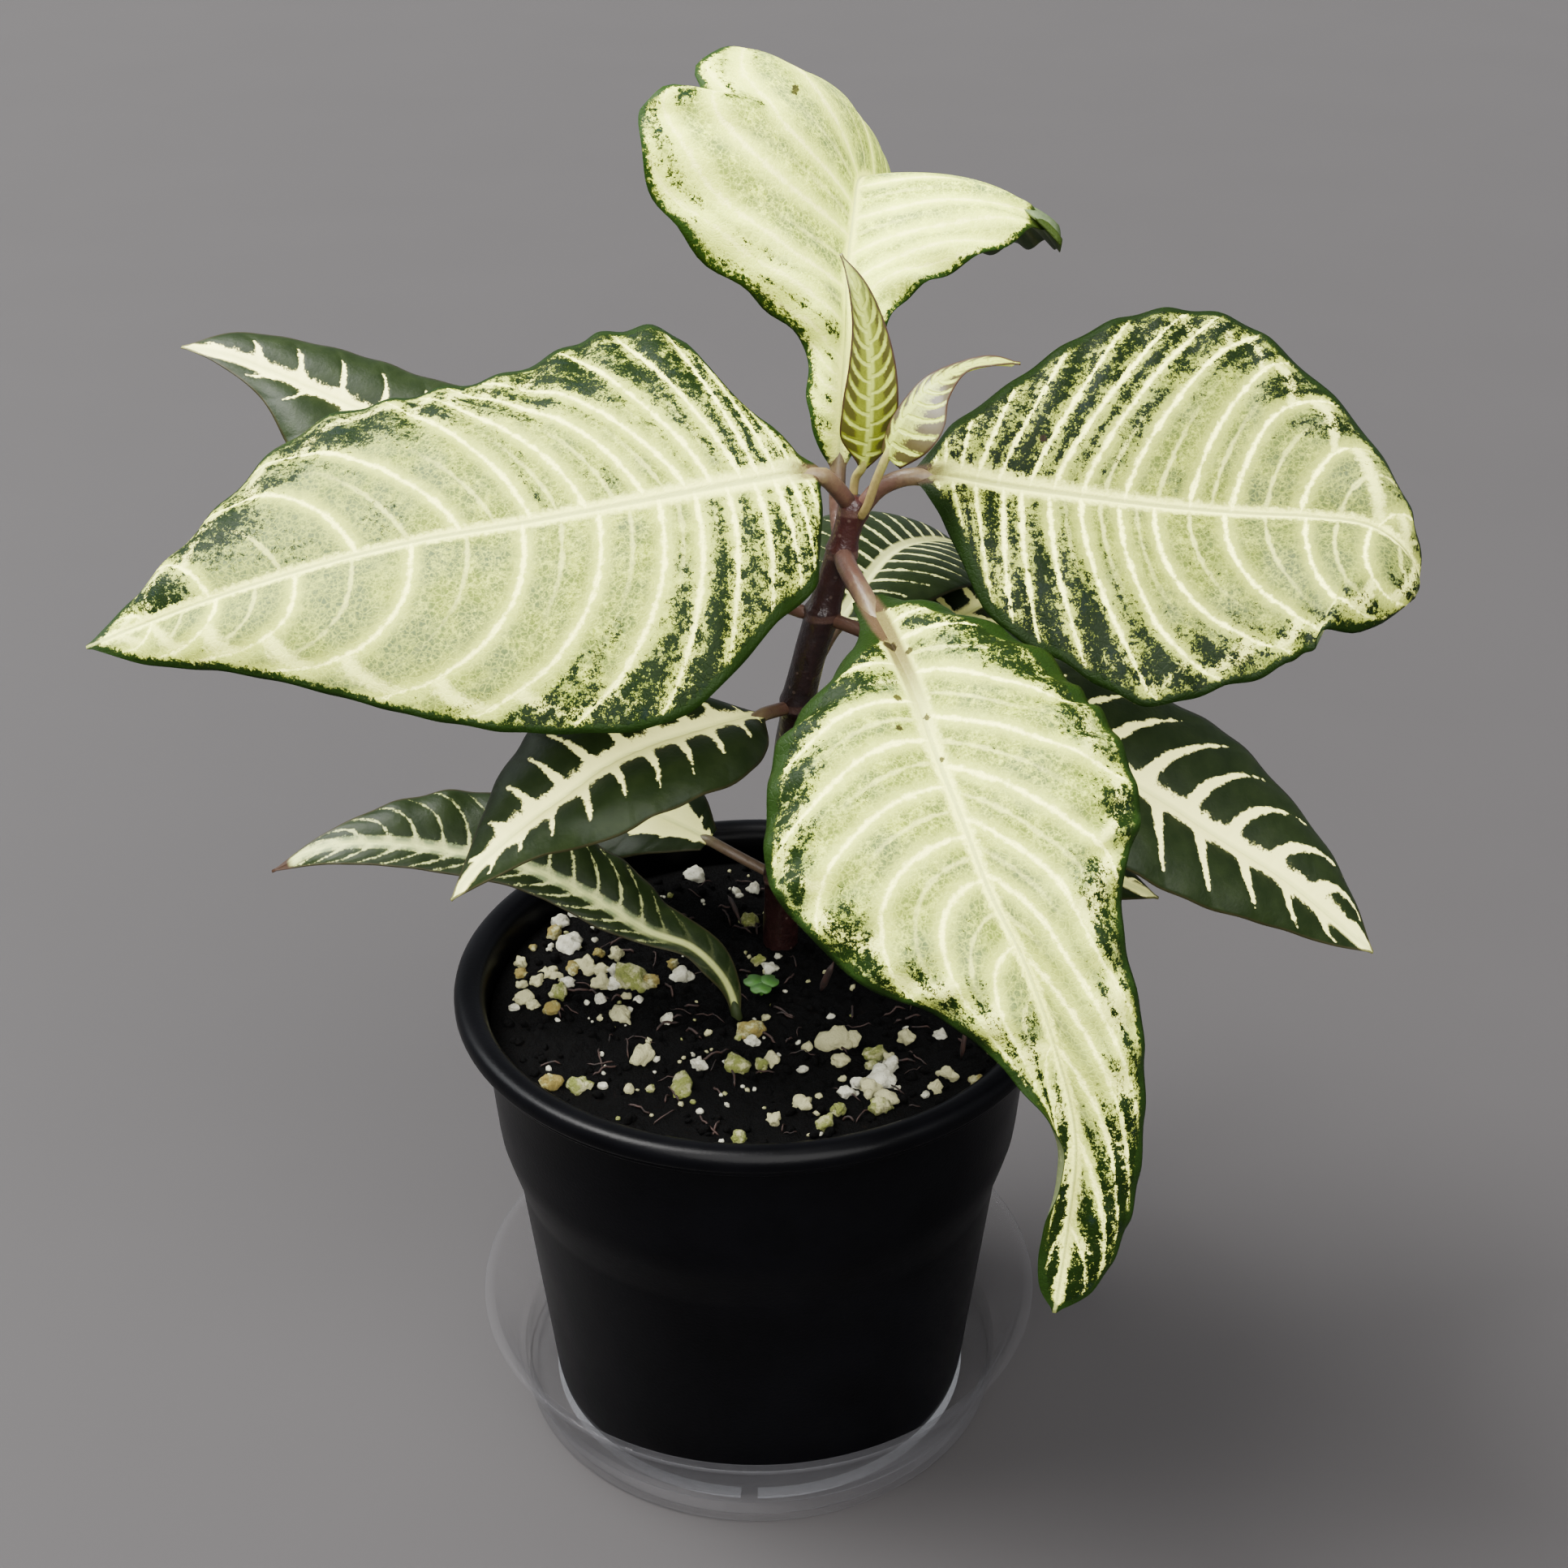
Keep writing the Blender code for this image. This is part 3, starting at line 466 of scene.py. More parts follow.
    ], face=((0, -0.95, 0.3),), lift=(12, 12), arch=(0.4, 0.4), petiole=0.8, wave=0.2, phase=0.0,
        rows=80, columns=36, spacing=3.0, slant=5.0, relief=0.12),
    young_leaf_arching=dict(stations=[
        (19, 1, 196.6, 0, 0), (20.2, -1, 199.8, 0, 0), (21.5, -2.7, 204.9, 0, 0),
        (23.3, -3.9, 210.3, 1.5, 4), (25, -4.4, 215.4, 2.1, 8), (27.8, -3.4, 219.5, 2.2, 7.8),
        (31.2, -1.8, 222.6, 2.2, 4.4), (36.9, 1, 224.7, 1.5, 1), (41.8, 2, 225.4, 1.2, 0.9),
        (46.5, 3, 224.7, 0, 0),
    ], face=((-0.6, -0.6, 0.5), (-0.3, -0.6, 0.7)), arch=(0.3, 0.5), petiole=0.8, wave=0.2,
        phase=0.6, rows=80, columns=32, spacing=2.7, slant=4.0, relief=0.1),
)


def leafLine(leaf, share):
    # Midrib points, directions, half widths and lifts at each share of the way from the root
    table = np.array(leaf["stations"], float)
    knots = knotsOf(table[:, :3])
    at = share * knots[-1]
    step = 0.002 * knots[-1]
    ahead = smoothPath(knots, table[:, :3], np.minimum(at + step, knots[-1]))
    behind = smoothPath(knots, table[:, :3], np.maximum(at - step, 0.0))
    along = unit(ahead - behind)
    face = np.array(leaf["face"], float)
    look = (1.0 - share)[:, None] * face[0] + share[:, None] * face[-1]
    side = unit(np.cross(along, look))
    lifts = np.radians(np.array(leaf["lifts"] or [leaf["lift"]] * len(table), float))
    first = int(np.argmax(table[:, 3:5].sum(axis=1) > 0.0))
    return dict(
        centre=smoothPath(knots, table[:, :3], at), side=side, up=np.cross(side, along),
        widths=smoothPath(knots, table[:, 3:5], at), lifts=smoothPath(knots, lifts, at),
        start=knots[first] / knots[-1], span=knots[-1],
    )


def ribRadius(leaf, line, share):
    run = np.clip((share - line["start"]) / (1.0 - line["start"]), 0.0, 1.0)
    return leaf["petiole"] * (1.0 - run) ** 0.8 + leaf["ribEnd"] * run


def evenShares(leaf, low, high, count):
    # Shares that stand at even distances along the midrib
    fine = np.linspace(low, high, 400)
    centre = leafLine(leaf, fine)["centre"]
    gone = np.concatenate([[0], np.cumsum(np.linalg.norm(np.diff(centre, axis=0), axis=1))])
    return np.interp(np.linspace(0, gone[-1], count), gone, fine), np.linspace(0, gone[-1], count)


def veinLists(leaf, half, length):
    if "roots" in leaf:
        roots = np.array(leaf["roots"][half], float)
        ends = np.array(leaf["ends"][half], float)
    else:
        roots = np.arange(2.0 + half * 0.35 * leaf["spacing"], length, leaf["spacing"])
        near = np.clip(roots / (0.25 * length), 0.3, 1.0)
        slant = leaf["slant"] if half else leaf.get("leftSlant", leaf["slant"])
        ends = roots + slant * near
    more = np.arange(1, 4)
    before = roots[0] - more[::-1] * 3.0
    after = roots[-1] + more * 12.0
    return (np.concatenate([before, roots, after]),
            np.concatenate([ends[0] - more[::-1] * 3.0, ends, ends[-1] + more * 12.0]))


def ofHalf(rows, half):
    return [row[1:] for row in rows if row[0] == half]


def bell(share, at, spread):
    return np.exp(-(((share - at) / spread) ** 2))[:, None]


def halfSheet(leaf, line, share, gone, q, half):
    # Points and pattern values of one half of the blade; q runs from the midrib to the margin
    sign = -1.0 if half == 0 else 1.0
    rib = ribRadius(leaf, line, share)[:, None]
    given = line["widths"][:, half:half + 1]
    width = np.maximum(np.maximum(given, rib * 0.7), leaf["leastWidth"])
    for at, spread, missing in ofHalf(leaf["notches"], half):
        width = width * (1.0 - missing * bell(share, at, spread))
    full = smoothShare(2.0, 14.0, width)  # no waves where the blade is narrow
    travel = (share * line["span"] ** 2 / leaf["waveLength"])[:, None]
    x = q * width
    ripple = leaf["wave"] * q**2 * np.sin(travel + leaf["phase"] + 2.1 * half) * full
    high = leaf["arch"][half] * 4.0 * q * (1.0 - q) * full + ripple
    for at, spread, depth in ofHalf(leaf["curls"], half):
        high = high + depth * bell(share, at, spread) * q**4
    roots, ends = veinLists(leaf, half, gone[-1])
    phase = np.zeros_like(x)
    for j, reach in enumerate(q[0]):
        spots = roots + (ends - roots) * reach ** leaf["sweep"][half]
        phase[:, j] = np.interp(gone, spots, np.arange(len(spots), dtype=float))
    slope = np.gradient(width[:, 0], gone)[:, None]
    alongRate = np.gradient(phase, gone, axis=0)
    acrossRate = np.gradient(phase, q[0], axis=1)
    trueAlong = alongRate - acrossRate * q * slope / width
    gap = 1.0 / np.maximum(np.hypot(acrossRate / width, trueAlong), 0.02)  # between side veins
    edge = (1.0 - q) * width / np.sqrt(1.0 + slope**2)
    ripples = leaf["ripple"] * gap * np.sin(math.tau * phase) * smoothShare(3.0, 9.0, gap)
    high = high + ripples * q**5 * full
    turn = np.zeros_like(x)
    for at, spread, flat, degrees in ofHalf(leaf["rolls"], half):
        bend = bell(share, at, spread) * smoothShare(flat, 1.0, q)
        turn = turn + math.radians(degrees) * bend
    runs = np.diff(x, axis=1, prepend=0.0)
    climbs = np.diff(high, axis=1, prepend=0.0)
    outX = np.cumsum(runs * np.cos(turn) - climbs * np.sin(turn), axis=1)
    outH = np.cumsum(runs * np.sin(turn) + climbs * np.cos(turn), axis=1)
    lift = line["lifts"][:, half:half + 1] * smoothShare(rib, 2.5 * rib, np.maximum(given, rib))
    outward = sign * line["side"] * np.cos(lift) + line["up"] * np.sin(lift)
    above = line["up"] * np.cos(lift) - sign * line["side"] * np.sin(lift)
    points = (line["centre"][:, None, :] + outward[:, None, :] * outX[..., None]
              + above[:, None, :] * outH[..., None])
    away = np.abs(phase - np.round(phase)) * gap  # from the nearest side vein
    pillow = (smoothShare(0.0, 2.6, away) - 0.5) * smoothShare(1.5, 5.0, gap)
    relief = leaf["relief"] * pillow * smoothShare(0.0, 4.0, x) * smoothShare(0.0, 3.0, edge)
    relief = relief - leaf["groove"] * np.exp(-(x / (0.7 * rib)) ** 2) * full
    return points, relief, phase, gap, x, edge


def leafPiece(name, leaf):
    leaf = {**leafDefaults, **leaf}
    rows, columns = leaf["rows"], leaf["columns"]
    start = leafLine(leaf, np.array([0.0, 1.0]))["start"]
    share, gone = evenShares(leaf, start, 1.0, rows + 1)
    line = leafLine(leaf, share)
    u = np.linspace(0.0, 1.0, columns // 2 + 1)
    q = np.tile(u * (0.6 + 0.4 * u), (rows + 1, 1))
    left = halfSheet(leaf, line, share, gone, q, 0)
    right = halfSheet(leaf, line, share, gone, q, 1)
    joined = [np.concatenate([a[:, ::-1], b[:, 1:]], axis=1) for a, b in zip(left, right)]
    points, relief, phase, gap, reach, edge = joined
    across = np.gradient(points, axis=1)
    along = np.gradient(points, axis=0)
    normals = np.cross(across, along)
    lengths = np.linalg.norm(normals, axis=-1, keepdims=True)
    normals = normals / np.maximum(lengths, 1e-9)
    points = points + normals * relief[..., None]

    bm = bmesh.new()
    bmesh.ops.create_grid(bm, x_segments=columns, y_segments=rows, size=1.0)
    made = bmesh.ops.extrude_face_region(bm, geom=bm.faces[:], use_keep_orig=True)
    for item in made["geom"]:
        if isinstance(item, bmesh.types.BMVert):
            item.co.z = 1.0
    bmesh.ops.recalc_face_normals(bm, faces=bm.faces[:])
    for face in bm.faces:
        if all(vert.co.z < 0.5 for vert in face.verts):
            face.material_index = 1
    blade = pieceFrom(name, bm, normals=False)
    mesh = blade.data
    flat = spotsOf(mesh)
    row = np.rint((flat[:, 1] + 1.0) / 2.0 * rows).astype(int)
    column = np.rint((flat[:, 0] + 1.0) / 2.0 * columns).astype(int)
    layer = np.where(flat[:, 2] > 0.5, 1.0, -1.0)
    thick = leaf["half"] * (0.45 + 0.55 * smoothShare(0.0, 1.2, edge))  # thinner at the margin
    where = points[row, column] + normals[row, column] * (layer * thick[row, column])[:, None]
    mesh.vertices.foreach_set("co", (where * mm).ravel())
    sides = np.where(column < columns // 2, -1.0, 1.0)
    for title, values in (("veinPhase", phase[row, column]), ("veinGap", gap[row, column]),
                          ("fromMidrib", reach[row, column]), ("toMargin", edge[row, column]),
                          ("alongBlade", gone[row]), ("bladeHalf", sides)):
        writeValues(mesh, title, values)
    mesh.update()
    return blade, petiolePiece(name, leaf, start)


def petiolePiece(name, leaf, start):
    # The petiole, and the midrib that runs on under the blade
    share, gone = evenShares(leaf, 0.0, leaf["ribStop"], leaf["ribRows"])
    line = leafLine(leaf, share)
    radius = ribRadius(leaf, line, share)
    inBlade = smoothShare(start - 0.02, start + 0.06, share)
    centres = line["centre"] - line["up"] * (radius * 1.02 * inBlade)[:, None]
    bm = tubeMesh(centres, radius, leaf["ribSides"], across=line["side"])
    stalk = pieceFrom(name + "Rib", bm)
    spots = spotsOf(stalk.data) / mm
    nearest = np.argmin(np.linalg.norm(spots[:, None, :] - centres[None], axis=2), axis=1)
    bladeAt = np.interp(start, share, gone)
    writeValues(stalk.data, "alongBlade", gone[nearest] - bladeAt)
    return stalk


# Leaf finishes

paleLook = dict(
    cream=(0.93, 0.95, 0.25), halo=(0.46, 0.52, 0.08), between=(0.096, 0.128, 0.018),
    grey=(0.066, 0.090, 0.036), lime=(0.150, 0.195, 0.007), olive=(0.036, 0.055, 0.008),
    # paintedSheen is a painted reflection colour, not a pigment of the leaf
    dark=(0.0034, 0.0090, 0.0009), paintedSheen=(0.0048, 0.0110, 0.0070),
    edge=(0.006, 0.0155, 0.0018), ribBand=(0.30, 0.335, 0.105), ribBase=(0.056, 0.034, 0.018),
)
leafDepth = {
    "Subsurface Weight": 0.06, "Subsurface Radius": (0.6, 0.9, 0.3), "Subsurface Scale": 0.001,
}


def bladeValues():
    # Millimetres from the midrib, to the margin and along the blade
    return [attributeOf(name) for name in ("fromMidrib", "toMargin", "alongBlade")]


def veinValues(wander=0.35):
    # Distances in millimetres to the nearest side vein and to the thin one half way
    where = surface()
    phase = attributeOf("veinPhase")
    gap = attributeOf("veinGap")
    wobble = grainNoise(where, 0.45, 2.0) * wander
    swing = maths("PINGPONG", phase, 0.5)
    near = maths("ABSOLUTE", swing * gap + wobble)
    middle = maths("ABSOLUTE", (0.5 - swing) * gap + wobble)
    return where, near, swing, phase, gap, middle


def paleUpper(name, density=(0.0, 0.0), baseReach=55.0, edgeReach=(12.0, 12.0), baseWidth=22.0,
              rim=1.0, toneAndPaintedLight=1.0, arcs=0.6, greyFrom=45.0, brownTo=7.0, rimBase=0.0,
              tip=(200.0, 0.0), tipReach=(1.0, 1.0), cap=0.36, farGreen=200.0, flecks=()):
    # Cream veins on mottled grey-green; dark green breaks in from the margin and the base
    # toneAndPaintedLight scales every tone but the cream, giving each leaf a lighter or darker
    # copy of this finish: partly the leaf's own tone, partly painted light and shade
    look = {tone: tuple(value * toneAndPaintedLight for value in colour) for tone, colour in paleLook.items()}
    look["cream"] = paleLook["cream"]
    newFinish(name, 0.48, 0.05)
    where, near, swing, phase, gap, middle = veinValues()
    reach, edge, along = bladeValues()
    half = attributeOf("bladeHalf")
    onRight = rise(half, -0.2, 0.2)
    signed = half * reach
    part = maths("FRACT", phase)
    fine = grainNoise(where, 1.1, 4.0, 0.7)
    grit = grainNoise(where, 2.9, 3.0, 0.75)
    veinAt = near + fine * 0.32 + grit * 0.15 + rise(edge, 0.0, 12.0, 0.25, 0.0)
    veinCore = fall(veinAt, 0.0, 0.68)
    veinHalo = fall(near + fine * 0.8, 0.1, 2.8)
    thinVein = fall(middle + fine * 0.25, 0.1, 0.6) * 0.32
    thinVein = thinVein * rise(reach, 6.0, 22.0, 1.0, 0.1) * rise(gap, 4.5, 7.0)
    arcAt = maths("MULTIPLY_ADD", part * part, 3.6, 3.3)
    arcOff = maths("ABSOLUTE", edge - arcAt) + fine * 0.7
    arc = fall(arcOff, 0.2, 1.3) * (0.75 * arcs) * rise(along, 30.0, 70.0, 0.15, 1.0)
    band = (reach + fine * 0.7) * rise(along, 10.0, 80.0, 1.15, 2.4)
    midBand = fall(band, 0.9, 3.6)

    # The mottled ground between the veins, and the veins on it
    net = fall(cellLines(where, 0.95), 0.02, 0.16)
    cloud = grainNoise(where, 0.11, 3.0, 0.55)
    cloudTwo = grainNoise(where, 0.31, 3.0, 0.6)
    far = rise(along, greyFrom, greyFrom + 50.0)
    ground = blend(rise(cloud + far * 0.7, -0.3, 0.8), look["between"], look["grey"])
    warm = rise(cloudTwo - far * 0.8, -0.1, 0.9) * 0.8
    ground = blend(warm, ground, look["lime"])
    speckle = (fine * 0.6 + grit * 0.45 + cloudTwo * 0.35) * rise(far, 0.0, 1.0, 1.0, 0.55)
    ground = blend(rise(speckle, -0.25, 0.75, 0.0, 0.95), ground, look["halo"])
    ground = blend(rise(speckle, -1.0, -0.25, 0.85, 0.0), ground, look["olive"])
    ground = blend(net * 0.26, ground, look["halo"])
    ground = blend(highest(veinHalo * 0.8, arc * 0.7, midBand * 0.9), ground, look["halo"])
    ground = blend(highest(veinCore, thinVein, arc, midBand * 0.65), ground, look["cream"])
    ribTone = blend(rise(along + fine * 3.0, brownTo * 0.4, brownTo * 1.3), look["ribBase"],
                    look["ribBand"])
    onRib = (reach + fine * 0.12) * rise(along, 0.0, 90.0, 0.7, 1.7)
    ribLine = fall(onRib, 0.25, 0.75) * 0.7
    ribSides = fall(onRib, 0.9, 1.7) * rise(along, brownTo * 0.6, brownTo * 1.4, 0.9, 0.0)

    # Dark green: zone is where it may break in, push how much, patch where it does
    lane = vectorOf(phase * 2.1, reach * 0.1, onRight * 9.0)
    broad = grainNoise(lane, 1.0, 3.0, 0.6)
    ragged = grainNoise(where, 0.6, 5.0, 0.9)
    base = fall(along, 6.0, baseReach)
    width = between(onRight, *edgeReach)
    tipward = rise(along, 40.0, 85.0)
    fade = between(onRight, *tipReach) - 1.0
    width = maths("MULTIPLY_ADD", tipward, width * fade, width) + base * baseWidth
    zone = fall(edge, 0.5, width)
    calm = rise(edge, 1.0, 4.5, 0.3, 0.0) * rise(base, 0.0, 0.6, -1.0, 0.0)
    bias = between(onRight, density[0] - 1.5, density[1] - 1.5)
    push = (bias + zone * 1.45 + zone * base * 0.25 + rise(swing, 0.05, 0.36) * 0.25
            + tipward * fade * 1.1)
    lean = (maths("MINIMUM", push, cap) - veinHalo * 0.38 + calm - veinCore * 0.95 - arc * 0.7
            - thinVein * 0.5 - midBand * 1.6 + rise(along, tip[0], tip[0] + 25.0, 0.0, tip[1]))
    patch = lean + broad * 0.65 + ragged * 1.25 + grit * 0.5
    green = rise(patch, -0.1, 0.14)
    rimAt = edge + fine * 0.7 + ragged * 0.9 - base * rimBase
    rimGreen = fall(rimAt, rim, rim + 0.6)
    # Painted sheen: a bluish-green reflection colour mixed into the middle of the dark green
    # patches
    paintedSheenShare = rise(grainNoise(where, 0.16, 2.0) + patch * 0.5, 0.5, 1.3)
    darkTone = blend(paintedSheenShare, look["dark"], look["paintedSheen"])
    darkTone = blend(rise(grit, 0.1, 1.0, 0.0, 0.7), darkTone, look["edge"])

    tone = blend(green, ground, darkTone)
    tone = blend(rimGreen, tone, look["edge"])
    farAt = signed + ragged * 1.2
    tone = blend(rise(farAt, farGreen, farGreen + 1.5), tone, (0.016, 0.027, 0.004))
    tone = blend(highest(ribLine, ribSides), tone, ribTone)
    for at, off, size in flecks:
        spot = vectorOf(along - at, signed - off, 0.0)
        tone = blend(rise(lengthOf(spot) + fine * 0.4, size, size + 0.25, 0.92, 0.0), tone,
                     (0.01, 0.006, 0.003))
    height = cloudTwo * 0.4 + fine * 0.2 - net * 0.35 - veinCore * 0.6
    return finish(tone, height, 0.35, 0.0003, leafDepth)


def paleUnder(name, darkWidth=5.0):
    newFinish(name, 0.6, 0.2)
    where, near, *_ = veinValues(0.2)
    edge = attributeOf("toMargin")
    cloud = grainNoise(where, 0.2, 3.0)
    ground = blend(rise(cloud, -0.8, 0.8), (0.26, 0.33, 0.15), (0.18, 0.25, 0.1))
    ground = blend(fall(near, 0.2, 1.4), ground, (0.55, 0.58, 0.26))
    rim = edge + grainNoise(where, 0.7, 4.0) * 1.5
    ground = blend(rise(rim, 0.5, darkWidth, 0.92, 0.0), ground, (0.013, 0.024, 0.008))
    return finish(ground, fall(near, 0.0, 1.2), 0.5, 0.0004)


def darkUpper(name, band=2.4, vein=0.95, reachTo=0.78, grey=0.0, bandPatch=0.0, bareTo=-20.0,
              dryTip=300.0, margin=2.5, fanShare=0.65):
    # Dark green with a ragged cream midrib band and blunt side veins
    newFinish(name, 0.45, 0.09)
    where, near, swing, *_ = veinValues(0.3)
    reach, edge, along = bladeValues()
    share = reach / (reach + edge + 0.01)
    ragged = grainNoise(where, 0.8, 5.0, 0.8)
    grit = grainNoise(where, 2.6, 3.0, 0.7)
    cloud = grainNoise(where, 0.25, 3.0)
    stopAt = share + cloud * 0.16 + ragged * 0.05
    half = (rise(share, 0.05, reachTo, vein, vein * 0.22)
            + rise(stopAt, reachTo - 0.12, reachTo + 0.06, 0.0, -1.6))
    over = half - near + ragged * 0.42 + grit * 0.22
    fan = fall(swing, 0.0, 0.28) * (band * fanShare)
    wide = (band - reach + ragged * 1.2 + grit * 0.5 + fan
            + rise(edge, 0.5, band * margin, -band, 0.0))
    core = fall(reach + ragged * 0.3, 0.9, 1.6)
    cream = highest(rise(over, -0.06, 0.25), rise(wide, -0.15, 0.45), core * 0.9)
    cream = cream * rise(along + ragged * 4.0, bareTo - 10.0, bareTo + 8.0, 0.05, 1.0)
    leafGreen = blend(rise(cloud, -0.8, 1.0), (0.0046, 0.0096, 0.0016), (0.009, 0.0155, 0.0036))
    leafGreen = blend(rise(grit + ragged * 0.5, 0.6, 1.6, 0.0, 0.5), leafGreen,
                      (0.03, 0.048, 0.014))
    pale = blend(rise(ragged + near * 0.5, 0.0, 1.0, 0.0, bandPatch), (0.88, 0.87, 0.3),
                 (0.03, 0.045, 0.018))
    # grey dulls the pale band and veins to grey-green; on leaf_back_right this is painted shade,
    # as that leaf lies in shadow
    pale = blend(grey, pale, (0.15, 0.19, 0.085))
    tone = blend(cream, leafGreen, pale)
    tone = blend(rise(reach, 0.25, 0.9, 0.5, 0.0), tone, (0.5, 0.54, 0.19))  # midrib groove
    line = rise(edge + grit * 0.12, 0.25, 0.5, 0.9, 0.0)
    tone = blend(line, tone, (0.017, 0.016, 0.006))
    tone = blend(rise(along, dryTip, dryTip + 2.0), tone, (0.022, 0.012, 0.007))
    height = rise(near, 0.0, 1.2, -0.6, 0.0) + cloud * 0.4 + ragged * 0.15
    return finish(tone, height, 0.35, 0.0004)


def darkUnder(name):
    newFinish(name, 0.55, 0.25)
    where, near, *_ = veinValues(0.15)
    cloud = grainNoise(where, 0.25, 3.0)
    ground = blend(rise(cloud, -0.8, 0.8), (0.035, 0.058, 0.022), (0.055, 0.082, 0.036))
    ground = blend(rise(near, 0.2, 1.2, 0.8, 0.0), ground, (0.15, 0.18, 0.08))
    return finish(ground, fall(near, 0.0, 1.2), 0.5, 0.0004)


def youngUpper(name, ground=(0.105, 0.122, 0.006), patch=(0.034, 0.03, 0.004), wide=0.75,
               brownAt=0.9):
    # Yellow-green with close cream veins and olive-brown patches between them
    newFinish(name, 0.42, 0.25)
    where, near, swing, *_ = veinValues(0.18)
    reach, edge, along = bladeValues()
    fine = grainNoise(where, 2.2, 3.0, 0.7)
    tip = rise(along + fine * 2.0, 22.0, 38.0)
    tone = blend(rise(fine, -0.6, 1.0), ground, (0.15, 0.175, 0.012))
    tone = blend(tip * 0.8, tone, (0.15, 0.19, 0.035))
    share = reach / (reach + edge + 0.01)
    brown = rise(share, 0.25, 0.7) * 0.9 + rise(swing, 0.12, 0.32) * 0.7 + fine * 0.35 - tip * 0.5
    tone = blend(rise(brown, brownAt, brownAt + 0.5, 0.0, 0.92), tone, patch)
    vein = fall(near + fine * 0.1, 0.18 * wide, 0.62 * wide)
    vein = vein * rise(edge, 0.2, 1.0)
    rib = fall(reach + fine * 0.15, 0.5 * wide, 1.3 * wide)
    tone = blend(highest(vein, rib) * 0.92, tone, (0.36, 0.42, 0.06))
    line = fall(edge + fine * 0.08, 0.15, 0.4)
    tone = blend(line, tone, (0.03, 0.014, 0.006))
    return finish(tone, vein * -1.0, 0.5, 0.0004)


def ribFinish(name, root, middle, far):
    # The petiole's colour at the stem, at the blade and along the midrib
    newFinish(name, 0.42, 0.3)
    along = attributeOf("alongBlade")
    where = surface()
    mottle = grainNoise(where, 0.5, 3.0)
    shift = along + mottle * 2.5
    tone = blend(rise(shift, -6.0, 6.0), root, middle)
    tone = blend(rise(shift, 6.0, 28.0), tone, far)
    streak = grainNoise(where, 1.4, 3.0, 0.7)
    tone = blend(rise(streak, -0.3, 1.0, 0.0, 0.35), tone, tuple(v * 0.4 for v in root))
    return finish(tone, mottle, 0.2, 0.0003)


leafFinishes = dict(
    # toneAndPaintedLight below 1 paints a leaf darker and above 1 paints it lighter, partly as
    # painted shade and light
    leaf_left=dict(density=(0.42, 0.72), edgeReach=(18.0, 20.0), baseReach=65.0, rimBase=0.8,
                   toneAndPaintedLight=0.92, tipReach=(0.35, 1.0)),
    leaf_right=dict(density=(0.72, 0.62), edgeReach=(30.0, 20.0), toneAndPaintedLight=0.60, rimBase=0.8,
                    tipReach=(0.3, 0.7), cap=0.42, flecks=((22.1, -9.0, 0.6),)),
    leaf_back=dict(density=(0.25, -0.6), edgeReach=(9.0, 3.0), baseReach=14.0, rim=0.5,
                   toneAndPaintedLight=1.7, arcs=0.0, brownTo=3.0, cap=0.15, farGreen=31.5,
                   flecks=((58.8, -20.0, 0.6),)),
    leaf_front=dict(density=(0.45, 0.48), edgeReach=(12.0, 13.0), baseReach=55.0, baseWidth=12.0,
                    brownTo=32.0, rimBase=3.6, tip=(92.0, 0.75),
                    flecks=((14.1, 0.5, 1.1), (17.6, -2.0, 0.5), (28.1, 3.3, 0.6),
                            (32.3, -0.6, 0.5), (34.7, 4.6, 0.4), (41.4, -0.6, 0.35))),
    leaf_upper_left=dict(band=1.7, vein=0.85, reachTo=0.75),
    leaf_lower_right=dict(band=2.6, vein=1.5, reachTo=0.88),
    leaf_lower_left=dict(band=2.4, vein=1.05, reachTo=0.76),
    # On leaf_back_right, grey is painted shade on the veins
    leaf_back_right=dict(band=1.0, vein=0.62, reachTo=0.92, grey=0.62),
    leaf_back_low=dict(band=1.2, vein=0.8, reachTo=0.9),
    leaf_low_back_left=dict(band=9.0, vein=1.2, reachTo=0.7, margin=0.8, fanShare=0.12),
    leaf_low_left=dict(band=1.2, vein=0.42, reachTo=1.05, grey=0.72, bandPatch=0.95, bareTo=30.0,
                       dryTip=101.0),
    leaf_low_right=dict(band=2.0, vein=0.9),
    young_leaf_upright=dict(),
    young_leaf_arching=dict(ground=(0.24, 0.275, 0.045), patch=(0.020, 0.009, 0.005),
                            brownAt=0.7),
)
underFinishes = dict(leaf_back=dict(darkWidth=14.0))
ribTones = dict(
    pale=((0.058, 0.028, 0.019), (0.12, 0.092, 0.044), (0.28, 0.31, 0.11)),
    dark=((0.055, 0.026, 0.017), (0.10, 0.075, 0.032), (0.055, 0.075, 0.026)),
    leaf_low_left=((0.016, 0.022, 0.006), (0.014, 0.022, 0.006), (0.055, 0.075, 0.026)),
    leaf_low_back_left=((0.075, 0.050, 0.030), (0.11, 0.095, 0.045), (0.20, 0.22, 0.08)),
    young=((0.17, 0.13, 0.045), (0.26, 0.28, 0.060), (0.30, 0.33, 0.075)),
)


def makeLeaves():
    for name, leaf in leaves.items():
        if "roots" in leaf:
            kind, upper, under = "pale", paleUpper, paleUnder
        elif name.startswith("young"):
            kind, upper, under = "young", youngUpper, paleUnder
        else:
            kind, upper, under = "dark", darkUpper, darkUnder
        blade, stalk = leafPiece(name, leaf)
        short = "".join(word.capitalize() for word in name.split("_"))
        blade.name = "blade" + short
        stalk.name = "petiole" + short
        place(blade, name, kind + "_leaf", upper(name + "Upper", **leafFinishes[name]),
              under(name + "Under", **underFinishes.get(name, {})))
        tones = ribTones.get(name, ribTones[kind])
        place(stalk, name, kind + "_leaf", ribFinish(name + "Rib", *tones))


makeLeaves()
print("leaves made")

# The pot, its saucer and the soil

